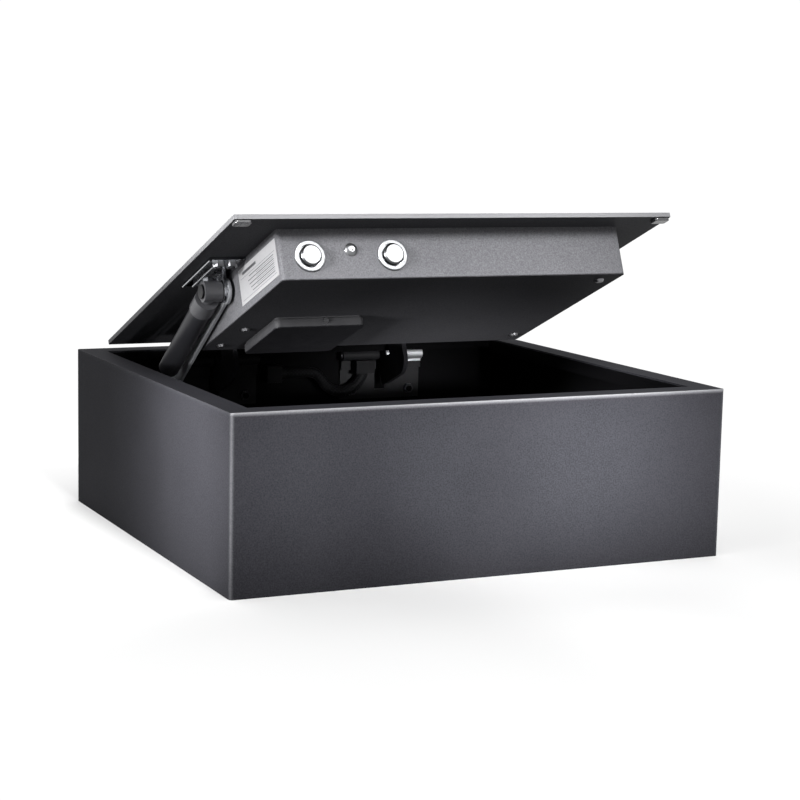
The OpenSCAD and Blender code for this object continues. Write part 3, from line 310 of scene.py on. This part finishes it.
def painted_edge_highlight(x, y, z):
    """Where the highlight is painted: 1 along the rim's front edge, less down the front's corners and along the
    rim's sides.
    """
    side, front, top = nearness(OUTER.x - abs(x)), nearness(y + OUTER.y), nearness(OUTER.z - z)
    front_rim = top.math("MINIMUM", front)
    front_corner = side.math("MINIMUM", front) * FRONT_CORNER_HIGHLIGHT
    side_rim = top.math("MINIMUM", side) * SIDE_RIM_HIGHLIGHT
    return front_rim.math("MAXIMUM", front_corner).math("MAXIMUM", side_rim)


def body_powder_coat(name):
    coat = PowderCoat(name)
    x, y, z = coat.axes()
    outside = coat.mix(coat.share, (0.0103, 0.0103, 0.0122), (0.0200, 0.0200, 0.0231))
    # The inside is near black: black coat, and painted shade inside the box.
    inside = (abs(x) < OUTER.x - SKIN) * (abs(y) < OUTER.y - SKIN) * (z < OUTER.z - SKIN)
    tone = coat.mix(inside, outside, (0.002, 0.002, 0.0023))
    # Lighter grey near the edges: a painted highlight, with a little grain in it.
    wear_and_highlight = painted_edge_highlight(x, y, z) ** HIGHLIGHT_FADE * (coat.grain * 0.6 + 0.7)
    return coat.coated(coat.mix(wear_and_highlight, tone, (0.135, 0.135, 0.142)), 0.60, haze=0.25, lift=0.55)


body_coat = body_powder_coat("body_powder_coat")
print("body corner in mm:", [round(c / MM) for c in OUTER])

# %% [markdown]
# ## The coats of the lid and the lock housing
# The lid is a plate whose cut edges are lighter grey: the coat is thin there, and the lighter tone is
# also a painted highlight for the light that the edges catch. The lock housing is folded from a
# lighter coated sheet, and its underside is painted darker as painted shade. Both change with the
# place on the shut lid, so one material each is enough and no face has to be picked by hand.

# %% Lid and housing coats
LID_EDGE = 0.35 * MM
HOUSING_EDGE = 0.8 * MM


def lid_powder_coat(name):
    low, high = shut_box("lid_plate")
    coat = PowderCoat(name)
    x, y, _ = shut_axes(coat)
    face = coat.mix(coat.share, (0.018, 0.018, 0.020), (0.032, 0.032, 0.035))
    # The cut edges are lighter grey: thin coat, and a painted highlight for the light that they catch.
    edge = ((abs(x) > high.x - LID_EDGE) + (y < low.y + LID_EDGE)).math("MINIMUM", 1.0)
    wear_and_highlight = edge * (coat.grain * 0.5 + 0.75)
    return coat.coated(coat.mix(wear_and_highlight, face, (0.125, 0.125, 0.130)), 0.55)


def housing_powder_coat(name):
    low, _ = shut_box("lock_housing")
    coat = PowderCoat(name)
    *_, z = shut_axes(coat)
    sides = coat.mix(coat.share, (0.048, 0.048, 0.052), (0.080, 0.080, 0.085))
    # The underside is darker than the sides: painted shade.
    below = coat.mix(coat.share, (0.0155, 0.0155, 0.0172), (0.0265, 0.0265, 0.029))
    return coat.coated(coat.mix(z < low.z + HOUSING_EDGE, sides, below), 0.60)


lid_coat = lid_powder_coat("lid_powder_coat")
housing_coat = housing_powder_coat("housing_powder_coat")
print("coats:", lid_coat.name, housing_coat.name)

# %% [markdown]
# ## Chrome
# Chrome plate is smooth and shows its surroundings. What keeps it from looking drawn is a haze of
# tiny scratches in its roughness. The lock bolts are chromed too: they slide, so their length is
# satin and their end face stays polished. A dark band just behind the end face is painted shade where
# the bolt meets its collar.

# %% Chrome finishes
POLISHED = (0.86, 0.87, 0.89)
SATIN = (0.48, 0.485, 0.50)
DARK_BAND_TONE = (0.060, 0.061, 0.064)
BOLT_CHAMFER = 0.3 * MM
DARK_BAND_LENGTH = 5.0 * MM


def chrome(name, tone=POLISHED):
    finish = Finish(name)
    haze = finish.noise(4.0, 4.0)
    pits = finish.noise(0.5)
    return finish.surface(tone, haze * 0.10 + 0.05, 1.0, Normal=finish.bump(pits, 0.004, 0.4))


def bolt_chrome(name, node):
    low, _ = shut_box(node)
    finish = Finish(name)
    haze = finish.noise(4.0, 4.0)
    drag = finish.noise(0.6)
    _, y, _ = shut_axes(finish)
    flank = y > low.y + BOLT_CHAMFER
    # A dark band behind the end face: painted shade where the bolt meets the collar.
    dark_band = flank * (y < low.y + DARK_BAND_LENGTH)
    tone = finish.mix(dark_band * (haze * 0.2 + 0.85), finish.mix(flank, POLISHED, SATIN), DARK_BAND_TONE)
    return finish.surface(tone, flank * 0.22 + haze * 0.10 + 0.05, 1.0,
                          Normal=finish.bump(drag, 0.004, 0.4))


chrome_plate = chrome("chrome_plate")
bracket_chrome = chrome("bracket_chrome", (0.40, 0.41, 0.43))
bolt_left = bolt_chrome("bolt_chrome_left", "lock_bolt_left")
bolt_right = bolt_chrome("bolt_chrome_right", "lock_bolt_right")
print("chrome:", chrome_plate.name, bracket_chrome.name, bolt_left.name, bolt_right.name)

# %% [markdown]
# ## Zinc and brass
# Zinc plate is dull and mottled with crystals a few millimetres across. One colour would look like
# grey paint, so a mesh of cells and a noise share the tint. The same finish in darker tones serves
# the satin collars, the screws and the blackened nuts. The lock's pinion is turned from brass.

# %% Zinc and brass finishes
def zinc_plate(name, tone=(0.55, 0.56, 0.58)):
    finish = Finish(name)
    mottle = finish.noise(1.2, 3.0)
    share = finish.cells(3.0) * 0.5 + mottle * 0.6
    deep = tuple(c * 0.72 for c in tone)
    return finish.surface(finish.mix(share, deep, tone), mottle * 0.25 + 0.24, 1.0,
                          Normal=finish.bump(mottle, 0.02, 0.5))


def turned_brass(name):
    finish = Finish(name)
    mottle = finish.noise(1.5, 3.0)
    tone = finish.mix(mottle, (0.50, 0.36, 0.13), (0.72, 0.56, 0.24))
    return finish.surface(tone, mottle * 0.2 + 0.2, 1.0, Normal=finish.bump(mottle, 0.01, 0.4))


satin_chrome = zinc_plate("satin_chrome", (0.20, 0.203, 0.21))
zinc = zinc_plate("zinc_plate")
black_zinc = zinc_plate("black_zinc", (0.035, 0.035, 0.038))
screw_steel = zinc_plate("screw_steel", (0.20, 0.20, 0.21))
brass = turned_brass("gear_brass")
print("plated:", zinc.name, satin_chrome.name, black_zinc.name, screw_steel.name, brass.name)

# %% [markdown]
# ## Steel and the worn hinges
# Cut steel shows the direction that it was rolled in, so its noise is stretched along one axis. The
# hinges are coated black, and the coat has rubbed through to bare steel on one knuckle. The rubbed
# patch is a mask by the distance from the pin, so the mesh needs no cut there.

# %% Steel and hinge finishes
BARE_STEEL = (0.42, 0.43, 0.45)
STRETCH = 0.06
KNUCKLE_R = 7.0 * MM


def rolled_steel(name):
    """Steel that was rolled along Y."""
    finish = Finish(name)
    drawn = finish.node("Mapping", Vector=finish.place, Scale=(1.0, STRETCH, 1.0))
    grain = finish.noise(0.5, 3.0, drawn)
    deep = tuple(c * 0.75 for c in BARE_STEEL)
    return finish.surface(finish.mix(grain, deep, BARE_STEEL), grain * 0.22 + 0.5, 1.0,
                          Normal=finish.bump(grain, 0.012, 0.5))


def hinge_black(name):
    """Black coat, worn through round the pin on the knuckle at the right."""
    low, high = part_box("hinge_bracket_right")
    finish = Finish(name)
    mottle = finish.noise(1.2, 3.0)
    x, y, z = finish.axes()
    from_pin = ((y - HINGE.y) ** 2 + (z - HINGE.z) ** 2) ** 0.5
    bare = (from_pin < KNUCKLE_R) * (mottle > 0.3) * (x > (low.x + high.x) / 2)
    black = finish.mix(mottle, (0.006, 0.006, 0.007), (0.011, 0.011, 0.012))
    return finish.surface(finish.mix(bare, black, BARE_STEEL), mottle * 0.2 + 0.45, bare * 0.9,
                          Normal=finish.bump(mottle, 0.02, 0.5), IOR=1.2)


stay_steel = rolled_steel("stay_steel")
hinge_coat = hinge_black("hinge_coat")
print("steel:", stay_steel.name, hinge_coat.name)

# %% [markdown]
# ## Moulded plastic
# Moulded plastic takes the grain that is etched into its mould, which is a mesh of small cells, so
# one function with that grain serves the plastic parts, the rubber pads and the batteries' sleeve.
# A low index of refraction again stands for a dull surface.

# %% Moulded finishes
ETCH_MM = 0.7
MATT_IOR = 1.12


def moulded(name, dark, light, roughness, grain_mm=ETCH_MM, coat=0.0, ior=1.45):
    """Plastic or rubber whose grain is grain_mm wide. Coat is its share of gloss."""
    finish = Finish(name)
    etch = finish.cells(grain_mm)
    cloud = finish.noise(9.0, 3.0)
    return finish.surface(finish.mix(cloud, dark, light), (cloud - 0.5) * 0.3 + roughness,
                          Normal=finish.bump(etch, 0.05, 0.35), Coat_Weight=coat, IOR=ior)


black_plastic = moulded("black_moulded_plastic", (0.012, 0.012, 0.013), (0.022, 0.022, 0.024), 0.42)
dull_plastic = moulded("black_dull_plastic", (0.0055, 0.0055, 0.006), (0.010, 0.010, 0.011), 0.5,
                       ior=MATT_IOR)
eye_plastic = moulded("nylon_strut_eye", (0.030, 0.030, 0.033), (0.050, 0.050, 0.054), 0.40, 1.0)
key_plastic = moulded("key_plastic", (0.026, 0.026, 0.029), (0.042, 0.042, 0.046), 0.48, 0.5)
bezel_plastic = moulded("bezel_plastic", (0.010, 0.010, 0.011), (0.018, 0.018, 0.020), 0.35, 0.6)
acetal = moulded("gearbox_acetal", (0.55, 0.53, 0.45), (0.68, 0.66, 0.58), 0.4)
shrink_sleeve = moulded("battery_sleeve", (0.16, 0.17, 0.19), (0.24, 0.25, 0.28), 0.25, 4.0, coat=0.4)
pad_rubber = moulded("pad_rubber", (0.020, 0.020, 0.022), (0.034, 0.034, 0.036), 0.30, 1.0, coat=0.3)
print("plastics:", black_plastic.name, dull_plastic.name, key_plastic.name, bezel_plastic.name)

# %% [markdown]
# ## The battery cover and the strut's enamel
# The battery cover has the same grain, but its wide face, which looks down, is painted darker than its
# walls: painted shade on the face and painted light on the walls, so its tone changes with the height
# on the shut lid. The strut's tube is enamelled, which leaves no grain and only a slight drift in the
# gloss.

# %% Cover and enamel finishes
COVER_EDGE = 0.7 * MM


def cover_moulding(name):
    low, _ = shut_box("battery_cover")
    finish = Finish(name)
    etch = finish.cells(ETCH_MM)
    cloud = finish.noise(9.0, 3.0)
    *_, z = shut_axes(finish)
    # Lighter walls and a darker wide face: painted light and painted shade.
    wall = finish.mix(cloud, (0.018, 0.018, 0.0195), (0.031, 0.031, 0.0325))
    face = finish.mix(cloud, (0.005, 0.005, 0.006), (0.009, 0.009, 0.010))
    tone = finish.mix(z < low.z + COVER_EDGE, wall, face)
    return finish.surface(tone, (cloud - 0.5) * 0.3 + 0.5, Normal=finish.bump(etch, 0.05, 0.35),
                          IOR=MATT_IOR)


def enamel(name):
    finish = Finish(name)
    drift = finish.noise(25.0)
    tone = finish.mix(drift, (0.010, 0.010, 0.012), (0.016, 0.016, 0.018))
    return finish.surface(tone, drift * 0.12 + 0.34, IOR=1.3)


cover_plastic = cover_moulding("cover_plastic")
tube_enamel = enamel("strut_enamel")
print("cover and tube:", cover_plastic.name, tube_enamel.name)

# %% [markdown]
# ## Woven sleeve and felt
# The power lead runs in a woven sleeve. Two sets of diagonal waves, one the mirror of the other,
# cross like its threads. Felt is matted fibre, so its noise is rough and deep, and the shader's
# sheen lifts its edges.

# %% Sleeve and felt
def woven(name):
    finish = Finish(name)
    way = {"bands_direction": "DIAGONAL"}
    leaning = finish.node("TexWave", way, Vector=finish.place, Scale=180.0, Distortion=0.6)
    mirrored = finish.node("Mapping", Vector=finish.place, Scale=(-1, 1, 1))
    weave = leaning * finish.node("TexWave", way, Vector=mirrored, Scale=180.0, Distortion=0.6)
    return finish.surface(finish.mix(weave, (0.003, 0.003, 0.0034), (0.010, 0.010, 0.011)), 0.62,
                          Normal=finish.bump(weave, 0.25, 0.8), IOR=1.15)


def felt(name):
    finish = Finish(name)
    fibre = finish.noise(0.9, 6.0)
    matting = finish.noise(7.0, 3.0)
    tone = finish.mix(fibre * 0.7 + matting * 0.3, (0.006, 0.006, 0.007), (0.022, 0.022, 0.025))
    return finish.surface(tone, 0.95, Normal=finish.bump(fibre, 0.5, 0.9), Sheen_Weight=0.15)


sleeve = woven("woven_sleeve")
mat_felt = felt("mat_felt")
print("soft finishes:", sleeve.name, mat_felt.name)

# %% [markdown]
# ## Circuit board and glass
# A circuit board shows copper tracks under green lacquer. They are the crests of two crossed saw
# waves, distorted so that they wander. The keypad's window is dark glass, and the sensor in the
# housing's face is a pale dome with a small dark window below its middle.

# %% Board, glass and lens
LENS_WINDOW_R = 0.20
LENS_WINDOW_DROP = 0.22


def lacquered_board(name):
    finish = Finish(name)
    along_x, along_y = [
        finish.node("TexWave", {"wave_profile": "SAW", "bands_direction": way},
                    Vector=finish.place, Scale=90.0, Distortion=9.0, Detail=1.0) for way in "XY"]
    tracks = (along_x > 0.86) + (along_y > 0.9)
    tone = finish.mix(tracks.math("MINIMUM", 1.0), (0.012, 0.075, 0.035), (0.05, 0.20, 0.09))
    return finish.surface(tone, 0.35, Normal=finish.bump(tracks, 0.05, 0.5))


def dark_glass(name):
    finish = Finish(name)
    haze = finish.noise(20.0)
    return finish.surface((0.006, 0.008, 0.010), haze * 0.06 + 0.04, Coat_Weight=0.6)


def lens_moulding(name):
    low, high = shut_box("sensor_lens")
    lens_height = high.z - low.z
    finish = Finish(name)
    x, _, z = shut_axes(finish, (low + high) / 2)
    from_window = (x ** 2 + (z + lens_height * LENS_WINDOW_DROP) ** 2) ** 0.5
    cloud = finish.noise(2.0)
    dome = finish.mix(cloud, (0.48, 0.48, 0.50), (0.62, 0.62, 0.64))
    tone = finish.mix(from_window < lens_height * LENS_WINDOW_R, dome, (0.010, 0.010, 0.012))
    return finish.surface(tone, cloud * 0.1 + 0.18)


board_green = lacquered_board("board_lacquer")
glass = dark_glass("display_glass")
lens = lens_moulding("sensor_lens_moulding")
print("board and glass:", board_green.name, glass.name, lens.name)

# %% [markdown]
# ## The label plate
# The lock housing carries a small white plate. It stays generic: a white film with ruled grey
# lines and no words. Each line is three comparisons multiplied together, and they follow the
# plate's own directions, with the lid taken as shut.

# %% Label film
TEXT_ROWS = (-0.62, -0.40, -0.18, 0.04, 0.26)
SMALL_ROWS = (-0.51, -0.29, -0.07, 0.15)
BORDER_ROWS = (-0.78, 0.42)
TEXT_START = -0.85
BORDER_END = 0.92


def label_film(name):
    low, high = shut_box("blank_label")
    half = (high - low) / 2
    finish = Finish(name)
    _, y, z = shut_axes(finish, (low + high) / 2)

    def rule(row, start, end, width_mm):
        """A line along the plate. Its row and its ends are shares of the half sizes."""
        return ((abs(z - row * half.z) < width_mm / 2 * MM)
                * (y > start * half.y) * (y < end * half.y))

    rules = [rule(row, TEXT_START, 0.55 - 0.3 * abs(row), 0.7) for row in TEXT_ROWS]
    rules += [rule(row, TEXT_START, 0.10, 0.35) for row in SMALL_ROWS]
    rules += [rule(row, -BORDER_END, BORDER_END, 0.3) for row in BORDER_ROWS]
    rules.append(rule(0.66, 0.05, 0.80, 2.2))
    paper = finish.noise(3.0)
    film = finish.mix(paper, (0.153, 0.153, 0.157), (0.187, 0.187, 0.191))
    tone = finish.mix(sum(rules).math("MINIMUM", 1.0), film, (0.033, 0.033, 0.036))
    return finish.surface(tone, paper * 0.1 + 0.45, IOR=1.2)


label = label_film("label_film")
print("label:", label.name)

# %% [markdown]
# ## Pieces that belong to a node
# A new piece has to move with the part of the safe that it belongs to. Its body follows from the
# node's name in the record, so no piece needs it written out; the node's material slot is looked up
# there too, but it is not used. Operators act on all that is selected, so a piece is always selected
# alone.

# %% Helpers for pieces
def only(piece):
    """Selects one piece and nothing else."""
    bpy.ops.object.select_all(action="DESELECT")
    piece.select_set(True)
    bpy.context.view_layer.objects.active = piece


def apply(piece, kind, **settings):
    """Adds a modifier and applies it."""
    only(piece)
    modifier = piece.modifiers.new(kind.lower(), kind)
    for key, setting in settings.items():
        setattr(modifier, key, setting)
    bpy.ops.object.modifier_apply(modifier=modifier.name)


def body_of(node):
    return next(body for body, nodes in bodies.items() if node in nodes)


def slot_of(node):
    return next(p["material_slot"] for p in frame["record"]["subparts"] if p["node"] == node)


def dress(piece, finish, node, replaces=True):
    """Gives a new piece its finish and hangs it on the body of the node that it belongs to."""
    piece.data.materials.clear()
    piece.data.materials.append(finish)
    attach(piece, body_of(node))
    slot_of(node)
    if replaces:
        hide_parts(node)


print("helpers for pieces are ready")

# %% [markdown]
# ## Edges that catch the light
# No folded or cast edge is perfectly sharp: the thin bright lines along the rim and the corner are
# its small radius reflecting the lamps. The CAD solids are sharp, so each is copied, its loose
# triangles are merged, flat regions are dissolved into single faces, and a Bevel modifier rounds
# what is left. A Weighted Normal modifier then lets the large flat faces keep their own direction
# up to the bevel.

# %% Rounded copies
MERGE = 0.005 * MM
FLAT = math.radians(0.6)
BEVEL_ANGLE = math.radians(30)
SMOOTH_ANGLE = math.radians(35)


def merged_copy(node, name):
    """A copy of a node's mesh with its triangles merged into whole faces."""
    piece = bpy.data.objects.new(name, frame["nodes"][node].data.copy())
    piece.data.name = name
    scene.collection.objects.link(piece)
    only(piece)
    bpy.ops.mesh.customdata_custom_splitnormals_clear()
    bpy.ops.object.mode_set(mode="EDIT")
    bpy.ops.mesh.select_all(action="SELECT")
    bpy.ops.mesh.remove_doubles(threshold=MERGE)
    bpy.ops.mesh.dissolve_limited(angle_limit=FLAT)
    bpy.ops.object.mode_set(mode="OBJECT")
    return piece


def rounded(node, finish, width_mm, segments):
    """A copy of a node with its edges rounded, which stands in for the node."""
    piece = merged_copy(node, node + "_rounded")
    apply(piece, "BEVEL", width=width_mm * MM, segments=segments, limit_method="ANGLE",
          angle_limit=BEVEL_ANGLE, harden_normals=False)
    only(piece)
    bpy.ops.object.shade_smooth_by_angle(angle=SMOOTH_ANGLE)
    apply(piece, "WEIGHTED_NORMAL", mode="FACE_AREA", weight=100, keep_sharp=True)
    dress(piece, finish, node)
    return piece


print("edges that turn by more than", round(math.degrees(BEVEL_ANGLE)), "degrees get a bevel")

# %% [markdown]
# ## Sheet metal and mouldings
# A fold in thick sheet is rounder than the edge of a thin bracket, so each node has its own bevel
# width, in millimetres, and its own number of segments. All twelve keys are alike.

# %% Rounded pieces
ROUNDED = {
    "body_shell": (body_coat, 1.5, 4),
    "lid_plate": (lid_coat, 0.5, 2),
    "lock_housing": (housing_coat, 1.2, 3),
    "battery_cover": (cover_plastic, 0.8, 3),
    "hinge_arm_left": (black_coat, 0.4, 2),
    "hinge_arm_right": (black_coat, 0.4, 2),
    "strut_body_bracket": (black_coat, 0.4, 2),
    "hinge_bracket_left": (hinge_coat, 0.4, 2),
    "hinge_bracket_right": (hinge_coat, 0.4, 2),
    "strike_plate": (zinc, 0.4, 2),
    "strut_lid_bracket": (bracket_chrome, 0.5, 3),
    "stay_arm": (stay_steel, 0.3, 2),
    "corner_pads": (pad_rubber, 0.6, 3),
    "keypad_bezel": (bezel_plastic, 0.5, 3),
    "junction_block": (dull_plastic, 0.5, 2),
    "lead_gland": (dull_plastic, 0.6, 2),
}
for node in frame["nodes"]:
    if node.startswith("key_"):
        ROUNDED[node] = (key_plastic, 0.6, 3)
for node, (finish, width_mm, segments) in ROUNDED.items():
    piece = rounded(node, finish, width_mm, segments)
    print(f"{piece.name}: {len(piece.data.polygons)} faces")

# %% [markdown]
# ## Numerals on the keys
# Each digit key carries its number as a thin layer of paint. The number is typed at the origin,
# made a mesh, and only then laid on the key's top, turned with the open lid. Extrude thickens it
# both ways, so half of the paint is sunk in the key. The two keys at the sides of the zero stay
# bare.

# %% Numerals
NUMERAL_SIZE = 7.0 * MM
PAINT_HALF = 0.04 * MM
PAINT_MERGE = 0.001 * MM


def numeral_paint(name):
    finish = Finish(name)
    wear_and_highlight = finish.noise(1.5)
    tone = finish.mix(wear_and_highlight, (0.30, 0.30, 0.31), (0.42, 0.42, 0.43))
    return finish.surface(tone, wear_and_highlight * 0.2 + 0.4)


paint = numeral_paint("numeral_paint")
for digit in "0123456789":
    low, high = shut_box("key_" + digit)
    bpy.ops.object.select_all(action="DESELECT")
    bpy.ops.object.text_add(location=(0, 0, 0))
    numeral = bpy.context.object
    numeral.name = "numeral_" + digit
    numeral.data.body = digit
    numeral.data.size = NUMERAL_SIZE
    numeral.data.align_x = "CENTER"
    numeral.data.align_y = "CENTER"
    numeral.data.extrude = PAINT_HALF
    bpy.ops.object.convert(target="MESH")
    bpy.ops.object.mode_set(mode="EDIT")
    bpy.ops.mesh.select_all(action="SELECT")
    bpy.ops.mesh.remove_doubles(threshold=PAINT_MERGE)
    bpy.ops.mesh.normals_make_consistent(inside=False)
    bpy.ops.object.mode_set(mode="OBJECT")
    numeral.rotation_euler = (-OPEN, 0, 0)
    numeral.location = swung(((low.x + high.x) / 2, (low.y + high.y) / 2, high.z), -OPEN)
    bpy.ops.object.transform_apply(location=True, rotation=True, scale=True)
    dress(numeral, paint, "key_" + digit, replaces=False)
    painted_top = max(swung(v.co, OPEN).z for v in numeral.data.vertices)
    print(numeral.name, "stands", round((painted_top - high.z) / MM, 3), "mm above its key")

# %% [markdown]
# ## Nodes whose shape is already right
# Pins, bolts, gears and boards have the right shape as they are. They could be copied too, but
# they keep their own mesh and only take a finish.

# %% Finishes for the other nodes
PLAIN = {
    zinc: ["strut_stud", "lid_nuts", "bolt_guide", "bolt_carriage", "lock_motor"],
    black_zinc: ["hinge_pin_left", "hinge_pin_right", "strut_lid_pin", "bracket_nuts"],
    satin_chrome: ["bolt_collar_left", "bolt_collar_right", "sensor_bezel"],
    screw_steel: ["housing_screws", "battery_cover_screw"],
    eye_plastic: ["strut_top_eye", "strut_lower_eye"],
    board_green: ["circuit_board", "keypad_board"],
    bolt_left: ["lock_bolt_left"],
    bolt_right: ["lock_bolt_right"],
    chrome_plate: ["strut_rod"],
    tube_enamel: ["strut_tube"],
    sleeve: ["power_lead"],
    brass: ["drive_pinion"],
    acetal: ["gearbox"],
    shrink_sleeve: ["batteries"],
    black_plastic: ["battery_holder"],
    mat_felt: ["floor_mat"],
    lens: ["sensor_lens"],
    glass: ["display_window"],
    label: ["blank_label"],
}
for finish, nodes in PLAIN.items():
    for node in nodes:
        materials = frame["nodes"][node].data.materials
        materials.clear()
        materials.append(finish)
finished = set(ROUNDED).union(*PLAIN.values())
print("nodes with no finish:", [node for node in frame["nodes"] if node not in finished])

# %% [markdown]
# ## The floor
# The portrait stands on white. A wide pale floor without any shine takes the soft shadow of the
# box and runs out of sight in every direction.

# %% Floor
FLOOR_SIZE = 80.0

bpy.ops.object.select_all(action="DESELECT")
bpy.ops.mesh.primitive_plane_add(size=FLOOR_SIZE, location=(0, 0, 0))
floor = bpy.context.object
floor.name = "studio_floor"
white = Finish("studio_white").surface((0.80, 0.80, 0.80), 1.0, Specular_IOR_Level=0.0)
floor.data.materials.append(white)
print("floor:", floor.name)

# %% [markdown]
# ## The sky
# The safe stands in a bright tent, which a picture of a sky could give, but a curve is enough: the
# tent is the same all round, so its brightness depends only on the height that a ray points to.
# The backdrop is white, a dark seam runs round above it, and the ceiling is the brightest. Light
# from the whole sky leaves only a soft shadow, close to the box.

# %% Sky
BACKDROP = 1.03
BACKDROP_TOP = 0.06
SEAM = 0.15
SEAM_AT = 0.16
CEILING = 1.454
CEILING_FROM = 0.50

scene.view_settings.view_transform = "Standard"
scene.view_settings.look = "None"
scene.world = scene.world or bpy.data.worlds.new("sky")
scene.world.use_nodes = True
sky_tree = scene.world.node_tree
sky = sky_tree.nodes["Background"]
sky.inputs["Color"].default_value = (1, 1, 1, 1)
direction = sky_tree.nodes.new("ShaderNodeTexCoord")
height = sky_tree.nodes.new("ShaderNodeSeparateXYZ")
band = sky_tree.nodes.new("ShaderNodeFloatCurve")
points = band.mapping.curves[0].points
for at, strength in ((BACKDROP_TOP, BACKDROP), (SEAM_AT, SEAM), (CEILING_FROM, CEILING)):
    points.new(at, strength)
points[0].location = (0, BACKDROP)
points[-1].location = (1, CEILING)
for point in points:
    point.handle_type = "VECTOR"
band.mapping.use_clip = False
band.mapping.update()
sky_tree.links.new(direction.outputs["Generated"], height.inputs["Vector"])
sky_tree.links.new(height.outputs["Z"], band.inputs["Value"])
sky_tree.links.new(band.outputs["Value"], sky.inputs["Strength"])
print("ceiling:", CEILING, "backdrop:", BACKDROP)

# %% [markdown]
# ## The lamps
# Round lamps shape the light on the object. Four far and low ones face the front and two the left
# side, so that they graze the floor and leave its shadow soft. Two near and high ones light the
# lock housing from above the lid's edge, which shades the top of its face, and one lights the left
# end of the housing. Each cone fades out, so that no edge of a beam shows.

# %% Lamps
def spotlight(name, at, aim, degrees, watts, radius=0.04, blend=1.0):
    """A round lamp at a point, turned toward another. Its cone fades out toward its edge."""
    data = bpy.data.lights.new(name, "SPOT")
    data.energy = watts
    data.spot_size = math.radians(degrees)
    data.spot_blend = blend
    data.shadow_soft_size = radius
    made = bpy.data.objects.new(name, data)
    scene.collection.objects.link(made)
    made.location = at
    made.rotation_euler = (Vector(aim) - Vector(at)).to_track_quat("-Z", "Y").to_euler()
    made.visible_camera = False


spotlight("front_left", (-0.15, -1.60, 0.12), (-0.12, -0.185, 0.09), 8, 127)
spotlight("front_middle", (0.10, -1.60, 0.10), (0.02, -0.185, 0.08), 10, 342)
spotlight("front_right", (0.35, -1.60, 0.10), (0.15, -0.185, 0.07), 9, 260)
spotlight("front_upper", (0.15, -1.60, 0.30), (0.10, -0.185, 0.10), 8, 199)
spotlight("lock_left", (-0.13, -0.50, 0.55), (-0.12, -0.135, 0.205), 30, 42, 0.12)
spotlight("lock_right", (0.10, -0.50, 0.55), (0.08, -0.135, 0.205), 34, 47, 0.12)
spotlight("side_near", (-1.35, -0.65, 0.10), (-0.20, -0.13, 0.085), 11, 297)
spotlight("side_middle", (-1.35, -0.45, 0.10), (-0.20, -0.07, 0.075), 14, 124)
spotlight("side_upper", (-1.30, -0.45, 0.50), (-0.145, -0.12, 0.205), 11, 260, 0.08, 0.8)
